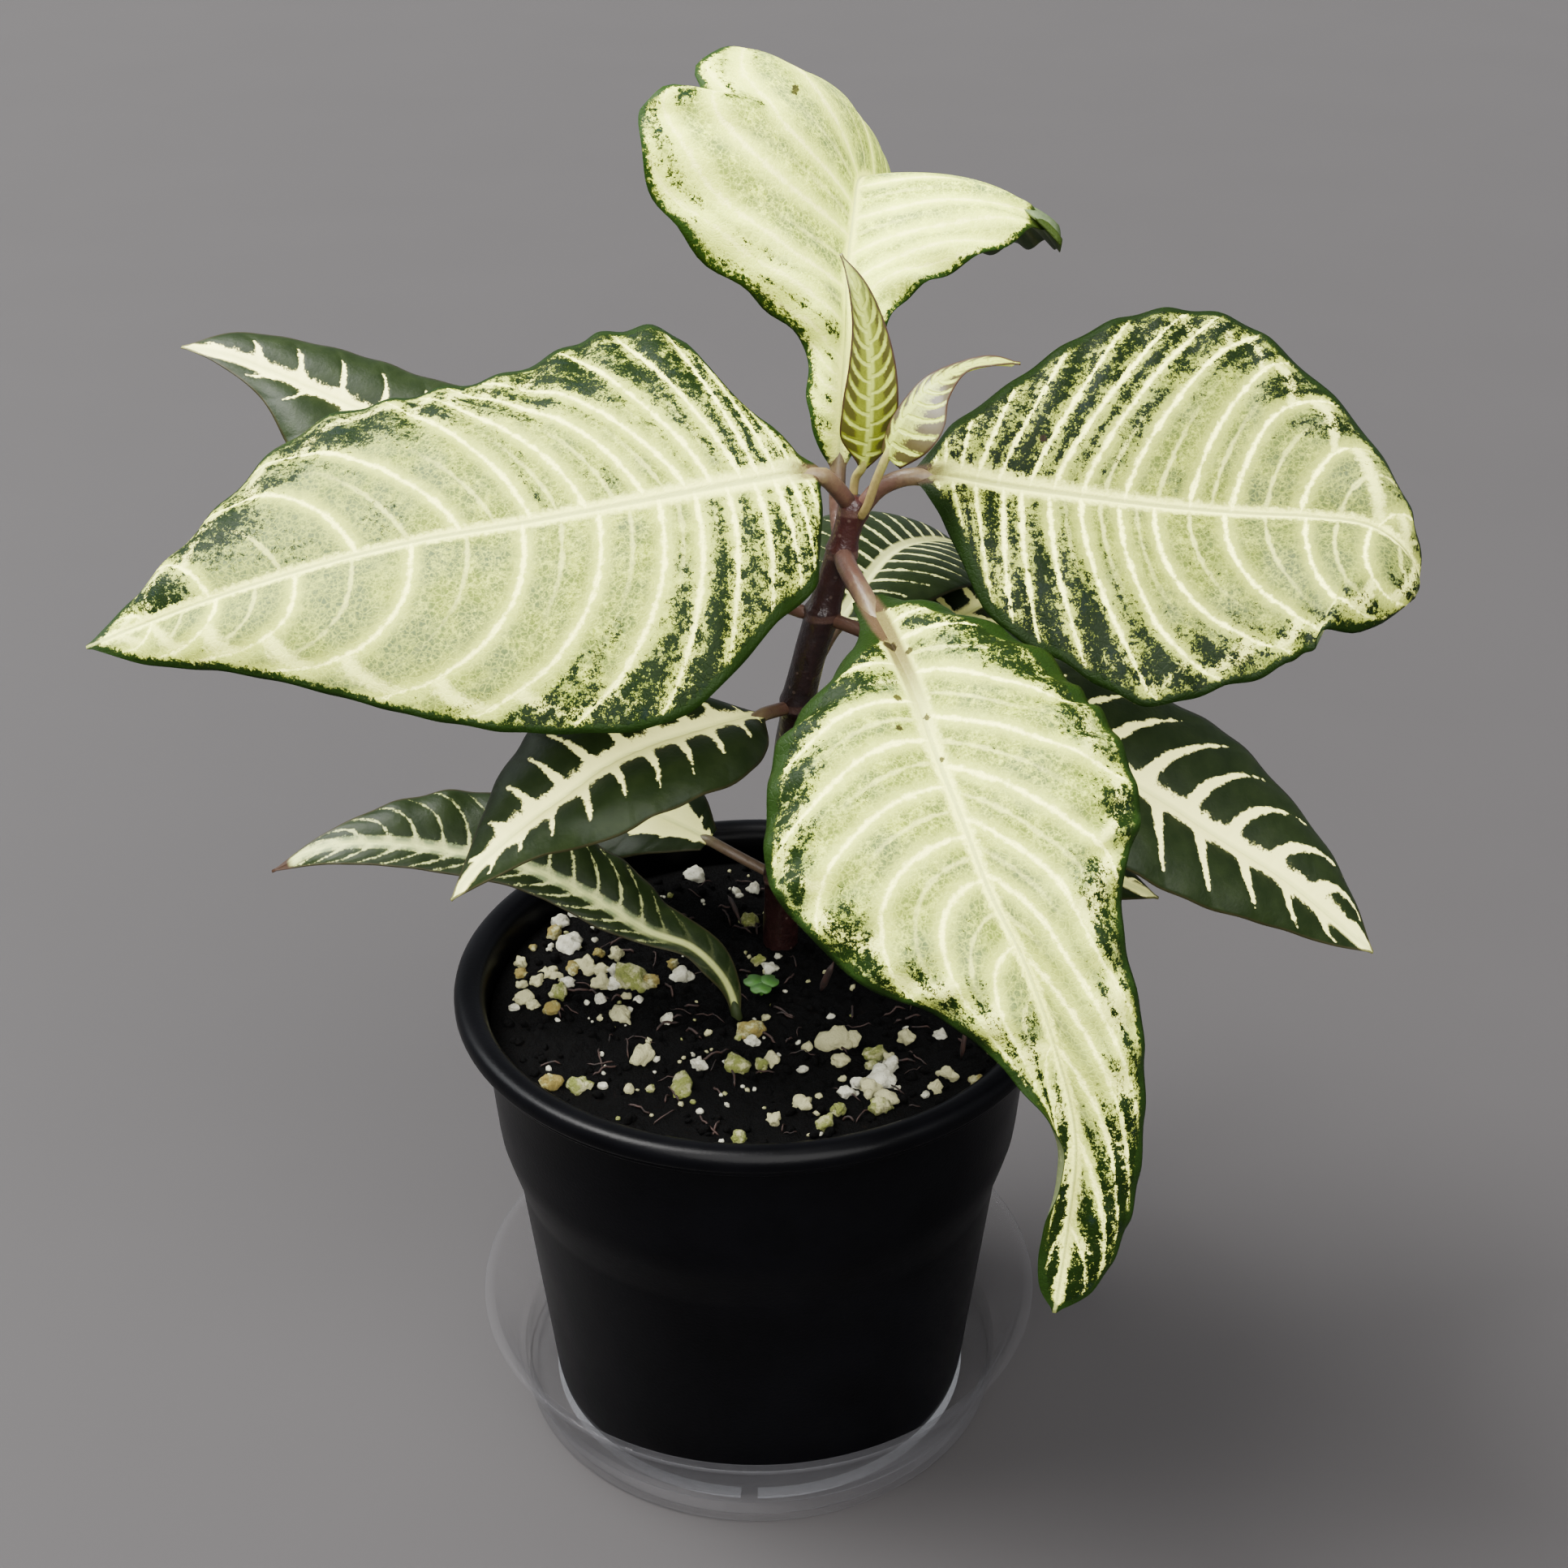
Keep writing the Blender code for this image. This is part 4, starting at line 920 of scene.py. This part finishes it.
pot = dict(
    profile=[
        (57.8, 100.75), (58.8, 100.6), (59.6, 100.15), (60.1, 99.5), (60.3, 98.7), (60.3, 97.6),
        (60.1, 97.0), (59.5, 96.6), (59.2, 96.3), (59.3, 95.9), (59.1, 95.5), (58.4, 95.2),
        (56.2, 95.0), (55.5, 94.6), (55.25, 93.6), (54.2, 82.0), (53.3, 70.0), (53.0, 67.4),
        (52.3, 64.6), (51.3, 61.0), (50.3, 57.6), (49.8, 55.4), (44.5, 4.6), (44.1, 2.6),
        (43.0, 1.6), (38.4, 1.5), (37.4, 1.8), (36.5, 2.5), (0.0, 2.5), (0.0, 4.0),
        (41.8, 4.0), (42.8, 4.4), (43.3, 5.4), (48.8, 56.7), (50.7, 62.9), (52.1, 69.3),
        (53.1, 82.2), (54.0, 95.5), (54.3, 98.2), (54.8, 99.4), (55.6, 100.25), (56.7, 100.65),
    ],
    steps=160, holes=6, holeRadius=3.4, holeRing=31.0, floorMiddle=3.0, sharpFrom=50.0,
)
saucer = dict(
    profile=[
        (58.2, 22.9), (58.8, 22.8), (59.1, 22.5), (59.1, 22.0), (58.6, 21.75), (57.9, 21.6),
        (52.6, 7.6), (52.2, 7.0), (51.5, 6.5), (51.3, 5.9), (51.2, 1.0), (50.9, 0.4),
        (50.2, 0.05), (47.0, 0.0), (46.4, 0.35), (45.2, 0.35), (44.6, 0.0), (0.0, 0.0), (0.0, 1.2),
        (49.4, 1.2), (50.0, 1.4), (50.25, 2.0), (50.35, 6.6), (50.7, 7.3), (51.4, 8.0),
        (57.0, 22.3), (57.4, 22.8),
    ],
    steps=160, sharpFrom=60.0,
)
soil = dict(
    wall=[(53.5, 92.6), (52.8, 82.3), (51.8, 69.4), (50.4, 63.0), (48.5, 56.8), (42.9, 5.4),
          (41.6, 4.3), (0.0, 4.3)],
    top=93.2, relief=1.1, reliefSize=13.0, edge=51.0, ringStep=0.7, steps=320, seed=11,
    clod=1.5, clodSize=3.4, bit=0.55, bitSize=1.1, stemAt=(4.7, 20.0), stemRoom=5.0,
    crumbs=420, crumbRadius=(0.4, 1.3), smallGrains=150, grainRadius=(0.28, 0.85),
    fibres=110, fibreLength=(2.5, 8.0), fibreRadius=(0.09, 0.28),
    twigs=[
        ([(12.5, 2, 92.5), (13.4, 1.4, 95.5), (14.6, 0.6, 99.5), (15.4, 0, 102)], 0.75),
        ([(39.6, -20.5, 92), (39.9, -20.3, 95), (40.2, -20, 98), (40.3, -19.8, 100)], 0.5),
        ([(-3.5, 26, 93.6), (-5, 30, 95.2), (-6, 34, 95), (-6.8, 38, 93.8)], 0.55),
    ],
)


def blackPlastic():
    newFinish("blackPlastic", 0.36, 0.06)
    where = surface()
    dust = grainNoise(where, 0.9, 5.0, 0.75)
    cloud = grainNoise(where, 0.05, 3.0)
    tone = blend(rise(cloud, -0.9, 0.9), (0.0004, 0.0004, 0.0006), (0.0009, 0.0009, 0.0013))
    tone = blend(rise(dust, 1.12, 1.3, 0.0, 0.3), tone, (0.05, 0.047, 0.038))
    return finish(tone, grainNoise(where, 1.6), 0.06, 0.0002, {"Roughness": cloud * 0.05 + 0.34})


def clearPlastic():
    # Thin and see-through, and denser where the wall is seen edge on: partly the longer path
    # through the plastic, partly a painted edge reflection
    newFinish("clearPlastic", 0.12, 0.35)
    where = surface()
    haze = grainNoise(where, 0.12, 4.0, 0.65)
    facing = addNode("LayerWeight", {"Blend": 0.35}, "Facing")
    densityAndReflection = rise(facing, 0.35, 1.0, 0.05, 0.65) + rise(haze, 0.4, 1.6, 0.0, 0.10)
    return finish((0.085, 0.085, 0.092), grainNoise(where, 0.09, 2.0), 0.1, 0.0006,
                  {"Alpha": densityAndReflection, "Roughness": rise(haze, 0.2, 1.4, 0.08, 0.30)})


def makePot():
    made = pieceFrom("potShell", turnedMesh(pot["profile"], pot["steps"]))
    bm = bmesh.new()
    for index in range(pot["holes"]):
        angle = math.tau * index / pot["holes"]
        x, y = math.cos(angle) * pot["holeRing"], math.sin(angle) * pot["holeRing"]
        bmesh.ops.create_cone(
            bm, cap_ends=True, segments=28, radius1=pot["holeRadius"] * mm,
            radius2=pot["holeRadius"] * mm, depth=2 * pot["floorMiddle"] * mm,
            matrix=Matrix.Translation(Vector((x, y, pot["floorMiddle"])) * mm),
        )
    cutter = pieceFrom("potHoles", bm)
    step = made.modifiers.new("holes", "BOOLEAN")
    step.object = cutter
    bpy.context.view_layer.update()
    graph = bpy.context.evaluated_depsgraph_get()
    whole = bpy.data.meshes.new_from_object(made.evaluated_get(graph))
    made.modifiers.clear()
    made.data = whole
    bpy.data.objects.remove(cutter, do_unlink=True)
    whole.shade_smooth()
    whole.set_sharp_from_angle(angle=math.radians(pot["sharpFrom"]))
    return place(made, "pot", "pot_plastic", blackPlastic())


def makeSaucer():
    made = pieceFrom("saucerShell", turnedMesh(saucer["profile"], saucer["steps"]))
    made.data.set_sharp_from_angle(angle=math.radians(saucer["sharpFrom"]))
    return place(made, "saucer", "saucer_plastic", clearPlastic())


def soilHeight(x, y):
    # The CAD soil's height, with crumbs of peat on it
    reach = min(max((soil["edge"] - math.hypot(x, y)) / 6.0, 0.0), 1.0)
    broad = noise.noise(Vector((x, y, 0.0)) / soil["reliefSize"]) * soil["relief"] * reach
    clodSize, bitSize = soil["clodSize"], soil["bitSize"]
    clod = abs(noise.noise(Vector((x / clodSize, y / clodSize, 4.0)))) * soil["clod"]
    bit = noise.noise(Vector((x / bitSize, y / bitSize, 9.0))) * soil["bit"]
    return soil["top"] + broad + (clod + bit - 0.5) * (0.35 + 0.65 * reach)


def peatFinish():
    newFinish("wetPeat", 0.82, 0.05)
    where = surface()
    cloud = grainNoise(where, 0.35, 4.0, 0.7)
    bits = grainNoise(where, 1.6, 4.0, 0.7)
    tone = blend(rise(bits, 0.0, 1.0), (0.0003, 0.0003, 0.0003), (0.0022, 0.0014, 0.001))
    tone = blend(rise(cloud, 0.5, 1.2), tone, (0.0075, 0.0042, 0.0026))
    return finish(tone, bits, 0.6, 0.0006, {"Roughness": rise(bits, -0.8, 0.8, 0.55, 0.95)})


def makeSoilBed():
    rings = np.arange(soil["edge"], 0.5, -soil["ringStep"])
    top = [(radius, soil["top"]) for radius in rings]
    profile = soil["wall"] + [(0.0, soil["top"])] + top[::-1] + [(52.4, 92.9)]
    bm = turnedMesh(profile, soil["steps"])
    for vert in bm.verts:
        x, y, z = vert.co / mm
        if z > soil["top"] - 0.4 and math.hypot(x, y) < 52.0:
            vert.co.z = soilHeight(x, y) * mm
    made = pieceFrom("soilBed", bm)
    return place(made, "soil", "soil", peatFinish())


def onSoil(draw, limit=50.0):
    while True:
        x, y = draw.uniform(-limit, limit), draw.uniform(-limit, limit)
        if math.hypot(x, y) < limit and math.dist((x, y), soil["stemAt"]) > soil["stemRoom"]:
            return x, y


def makeCrumbs():
    # Loose crumbs of peat
    draw = random.Random(soil["seed"])
    bm = bmesh.new()
    for _ in range(soil["crumbs"]):
        x, y = onSoil(draw)
        radius = draw.uniform(*soil["crumbRadius"])
        made = bmesh.ops.create_icosphere(bm, subdivisions=1, radius=radius * mm)
        turn = Euler([draw.uniform(0.0, math.tau) for _ in range(3)]).to_matrix().to_4x4()
        shape = Matrix.Diagonal((draw.uniform(0.8, 1.5), 1.0, draw.uniform(0.5, 0.9), 1.0))
        bmesh.ops.transform(bm, matrix=turn @ shape, verts=made["verts"])
        spot = Vector((x, y, soilHeight(x, y) + 0.1 * radius)) * mm
        bmesh.ops.translate(bm, vec=spot, verts=made["verts"])
    made = pieceFrom("peatCrumbs", bm)
    return place(made, "soil", "soil", peatFinish())


# Perlite: x, y, radius and tint, where 0 is white, 1 cream, 2 green and 3 ochre
grains = [
    (-39.5, 31, 1.1, 0), (-43, 23.5, 1.7, 3), (-42, 27.5, 2.0, 0), (-39.5, 19, 2.7, 0),
    (-47, 18, 1.0, 3), (-49, 12, 1.4, 1), (-48.5, 8.5, 1.3, 3), (-48, 4.6, 1.3, 1),
    (-43, 9, 2.0, 1), (-45, 5.5, 1.4, 1), (-41, 7, 1.4, 1), (-38, 10, 2.0, 3),
    (-35.5, 10.5, 2.0, 1), (-40, 1, 2.2, 2), (-38.5, 5, 1.4, 0), (-47, -1, 2.1, 1),
    (-48.5, -4, 1.2, 0), (-45, -3, 1.4, 1), (-41, -5, 1.7, 3), (-29.7, 15.5, 2.0, 1),
    (-33, 14.7, 1.3, 3), (-32, 9.2, 1.5, 1), (-29.3, 8.4, 1.4, 0), (-31.8, 4.6, 2.1, 1),
    (-29.2, 4.6, 1.4, 0), (-25.5, 5, 3.4, 2), (-22, 5, 2.0, 3), (-31.7, -0.2, 1.4, 0),
    (-26.3, 0, 1.1, 1), (-24, -1, 1.2, 0), (-27, -6.2, 2.2, 1), (-31, -6.5, 1.1, 1),
    (-17.8, -7.7, 1.4, 0), (-22, -20, 2.2, 1), (-15.4, 6.7, 2.0, 0), (-17.5, 11.7, 1.4, 3),
    (-14.3, 46, 2.3, 0), (-2, 28, 2.4, 2), (-1.2, 40, 1.6, 0), (-5, 40, 1.0, 0),
    (-39, -29, 2.1, 3), (-33.6, -30, 2.1, 2), (-29, -30, 1.0, 0), (-24, -31, 1.2, 1),
    (-11, -24, 1.7, 0), (-14, -29.7, 2.5, 2), (-3.3, -24, 2.6, 2), (1.1, -23, 1.5, 2),
    (3.1, -21, 1.5, 1), (-1.2, -12.4, 2.2, 3), (-0.8, -15.4, 1.4, 0), (2.5, 10, 1.6, 0),
    (0, 13, 1.4, 2), (15.2, -16.5, 3.1, 1), (18.4, -15.6, 1.8, 1), (29.2, -15, 1.7, 1),
    (10, -17.5, 1.2, 1), (16.3, -22.2, 1.7, 1), (23.1, -19.3, 2.2, 2), (26, -20.4, 1.5, 1),
    (22.3, -24, 1.4, 2), (25.6, -24, 1.8, 0), (24, -28, 2.5, 0), (19.6, -29.4, 1.6, 0),
    (21.8, -31, 2.4, 1), (17.1, -32.2, 1.6, 0), (24.6, -34.4, 1.9, 1), (23.5, -36.8, 1.8, 2),
    (8.8, -35.2, 1.9, 1), (15.5, -37.5, 1.4, 2), (12.8, -41.4, 2.0, 2), (3.5, -40, 1.6, 1),
    (-2.8, -45, 1.5, 2), (36.7, -26.4, 1.8, 1), (34.2, -30, 1.5, 1), (42, -28.4, 1.6, 3),
    (9, -24, 1.2, 0), (-20, -30, 1.0, 2), (46, -18, 1.6, 1), (36, -14, 1.3, 0),
]


def perliteFinish():
    newFinish("perlite", 0.88, 0.25)
    where = surface()
    tint = attributeOf("grainTint")
    pits = grainNoise(where, 1.5, 4.0, 0.7)
    cloud = grainNoise(where, 0.45, 3.0)
    white = blend(rise(cloud, -0.6, 0.8), (0.46, 0.455, 0.36), (0.24, 0.235, 0.17))
    tone = blend(rise(tint, 0.3, 0.9), white, (0.3, 0.29, 0.155))
    patchy = rise(cloud + pits * 0.4, -0.7, 0.3)
    tone = blend(rise(tint, 1.3, 1.8) * patchy, tone, (0.11, 0.125, 0.026))
    tone = blend(rise(tint, 2.4, 2.8) * patchy, tone, (0.15, 0.115, 0.028))
    tone = blend(rise(pits, 0.35, 1.0, 0.0, 0.75), tone, (0.03, 0.026, 0.015))
    return finish(tone, pits, 0.7, 0.0006)


def makePerlite():
    # Every grain is a lumpy, pitted pebble half sunk in the peat
    draw = random.Random(soil["seed"] + 1)
    whole = list(grains)
    for _ in range(soil["smallGrains"]):
        x, y = onSoil(draw, 51.0)
        tint = draw.choice((0, 0, 0, 1, 1, 2))
        whole.append((x, y, draw.uniform(*soil["grainRadius"]), tint))
    bm = bmesh.new()
    tints = []
    for x, y, radius, tint in whole:
        fine = 3 if radius > 1.2 else (2 if radius > 0.7 else 1)
        made = bmesh.ops.create_icosphere(bm, subdivisions=fine, radius=1.0)
        shape = [draw.uniform(0.85, 1.25), draw.uniform(0.75, 1.0), draw.uniform(0.7, 0.9)]
        turn = Euler([draw.uniform(-0.6, 0.6), draw.uniform(-0.6, 0.6),
                      draw.uniform(0.0, math.tau)]).to_matrix()
        shift = Vector((x * 3.1, y * 2.7, radius * 9.0))
        base = Vector((x, y, soilHeight(x, y) + 0.25 * radius))
        for vert in made["verts"]:
            lump = noise.noise(vert.co * 1.5 + shift) * 0.55
            pit = noise.noise(vert.co * 4.0 + shift) * 0.16
            spot = vert.co * (1.0 + lump + pit)
            spot = Vector([value * scale for value, scale in zip(spot, shape)])
            vert.co = (base + turn @ spot * radius) * mm
        tints += [tint + draw.uniform(-0.1, 0.1)] * len(made["verts"])
    made = pieceFrom("perliteGrains", bm)
    writeValues(made.data, "grainTint", tints)
    return place(made, "soil", "soil", perliteFinish())


def fibreFinish():
    newFinish("barkFibre", 0.7, 0.3)
    mottle = grainNoise(surface(), 0.6, 3.0)
    tone = blend(rise(mottle, -0.6, 0.8), (0.018, 0.0065, 0.0038), (0.0035, 0.002, 0.0016))
    return finish(tone)


def wovenRoute(draw, x, y, length, height=0.7):
    # Eight points that wander over the soil and rise a little in the middle
    heading = draw.uniform(0.0, math.tau)
    bend = draw.uniform(-0.12, 0.12)
    route = []
    for step in range(8):
        route.append((x, y, soilHeight(x, y) + height * math.sin(step / 7.0 * math.pi)))
        x += math.cos(heading) * length / 7.0
        y += math.sin(heading) * length / 7.0
        heading += bend + draw.uniform(-0.25, 0.25)
    return route


def makeFibres():
    # Bits of root and bark that lie in the peat
    draw = random.Random(soil["seed"] + 2)
    bm = bmesh.new()
    for _ in range(soil["fibres"]):
        x, y = onSoil(draw, 46.0)
        route = wovenRoute(draw, x, y, draw.uniform(*soil["fibreLength"]))
        radius = draw.uniform(*soil["fibreRadius"])
        if max(math.hypot(spot[0], spot[1]) for spot in route) > 51.0:
            continue
        addPart(bm, tubeMesh(route, [radius] * 8, 5))
    for path, radius in soil["twigs"]:
        addPart(bm, tubeMesh(path, [radius * 1.2, radius, radius * 0.9, radius * 0.7], 10))
    made = pieceFrom("rootFibres", bm)
    return place(made, "soil", "soil", fibreFinish())


# The stem: x, y, z and radius from the root end to the tip, and the heights of its nodes

stem = dict(
    path=[
        (4.7, 20, 78, 3.6), (4.7, 20, 96, 3.7), (4.8, 18, 109, 3.5), (4.9, 17.3, 111.5, 3.9),
        (5.1, 16.5, 114, 3.5), (5.4, 13, 129, 3.4), (5.6, 12, 132, 3.8), (5.9, 11, 135, 3.4),
        (7.0, 6.5, 148, 3.3), (7.9, 4.6, 155.5, 3.3), (8.2, 4, 158, 3.8), (8.5, 3.6, 160.5, 3.2),
        (10.6, 3, 170, 3.1), (12, 3, 175, 3.2), (12.5, 3, 177, 3.6), (13.2, 3, 179.5, 2.9),
        (15.2, 3, 187, 2.8), (15.9, 3, 189.3, 3.2), (16.3, 3, 191.5, 2.7), (17.2, 3, 195, 2.6),
        (17.9, 3, 197.6, 3.0), (18.5, 3, 200, 2.2),
    ],
    rows=190, sides=32, nodes=[111.5, 132.0, 158.0, 177.0, 189.3, 197.6],
)


def barkFinish():
    newFinish("maroonBark", 0.32, 0.35)
    where = surface()
    ring = attributeOf("nodeRing")
    young = attributeOf("stemHeight")
    mottle = grainNoise(where, 0.35, 4.0, 0.65)
    tone = blend(rise(mottle, -0.8, 0.9), (0.005, 0.0018, 0.0017), (0.013, 0.0045, 0.0042))
    tone = blend(rise(young, 170.0, 200.0), tone, (0.022, 0.0055, 0.005))
    spots = cellLines(where, 0.42, "F1")
    tone = blend(rise(spots, 0.1, 0.18, 0.5, 0.0), tone, (0.075, 0.05, 0.04))
    edge = ring + mottle * 0.12
    tone = blend(rise(edge, 0.45, 0.8, 0.0, 0.8), tone, (0.048, 0.024, 0.018))
    return finish(tone, mottle, 0.3, 0.0005)


def makeStem():
    table = np.array(stem["path"], float)
    knots = knotsOf(table[:, :3])
    rows = smoothPath(knots, table, np.linspace(0.0, knots[-1], stem["rows"]))
    bm = tubeMesh(rows[:, :3], rows[:, 3], stem["sides"])
    for vert in bm.verts:
        x, y, z = vert.co / mm
        middle = Vector(rows[np.argmin(np.abs(rows[:, 2] - z)), :3])
        out = vert.co / mm - middle
        ridge = noise.noise(Vector((x * 0.5, y * 0.5, z * 0.05))) * 0.05
        ring = sum(math.exp(-(((z - node) / 0.5) ** 2)) for node in stem["nodes"])
        vert.co = (middle + out * (1.0 + ridge - 0.05 * ring)) * mm
    made = pieceFrom("stemBark", bm)
    heights = [vert.co.z / mm for vert in made.data.vertices]
    rings = [max(math.exp(-(((z - node) / 1.0) ** 2)) for node in stem["nodes"]) for z in heights]
    writeValues(made.data, "stemHeight", heights)
    writeValues(made.data, "nodeRing", rings)
    return place(made, "stem", "stem", barkFinish())


seedling = dict(
    foot=(1.0, 2.0, 89.0), head=(0.8, 0.9, 95.9), stalk=0.38, leaflet=2.15, sink=1.75,
    turns=0.08, colour=(0.020, 0.075, 0.008),
)


def cloverFinish():
    newFinish("cloverGreen", 0.55, 0.35)
    mottle = grainNoise(surface(), 0.8, 3.0)
    tone = blend(rise(mottle, -0.8, 0.8), seedling["colour"], (0.02, 0.068, 0.004))
    return finish(tone)


def makeSeedling():
    # A thread of a stalk and three notched leaflets
    head = Vector(seedling["head"])
    foot = Vector(seedling["foot"])
    route = [foot.lerp(head, share) for share in (0.0, 0.25, 0.5, 0.75, 1.0)]
    bm = tubeMesh([tuple(spot) for spot in route], [seedling["stalk"]] * 5, 10)
    for index in range(3):
        angle = math.tau * (index / 3.0 + seedling["turns"])
        ahead = Vector((math.cos(angle), math.sin(angle), 0.0))
        aside = Vector((-math.sin(angle), math.cos(angle), 0.0))
        part = bmesh.new()
        bmesh.ops.create_circle(part, cap_ends=True, segments=28, radius=1.0)
        for _ in range(2):
            middle = [face for face in part.faces if len(face.verts) == 28]
            bmesh.ops.inset_region(part, faces=middle, thickness=0.3)
        for vert in part.verts:
            radius = min(vert.co.length, 1.0)
            bearing = math.atan2(vert.co.y, vert.co.x)
            notch = 1.0 - 0.32 * math.exp(-((bearing / 0.34) ** 2))
            reach = radius * seedling["leaflet"] * notch
            lift = 0.1 + 0.3 * radius**2 - 0.15 * abs(math.sin(bearing)) * radius
            spot = head + ahead * (seedling["sink"] + math.cos(bearing) * reach)
            spot += aside * math.sin(bearing) * reach + Vector((0, 0, lift))
            vert.co = spot * mm
        bmesh.ops.solidify(part, geom=part.faces[:], thickness=0.35 * mm)
        addPart(bm, part)
    made = pieceFrom("cloverSeedling", bm)
    return place(made, "seedling", "seedling", cloverFinish())


makePot()
makeSaucer()
print("pot and saucer made")
makeSoilBed()
makeCrumbs()
makePerlite()
makeFibres()
print("soil made")
makeStem()
makeSeedling()
print("stem and seedling made")
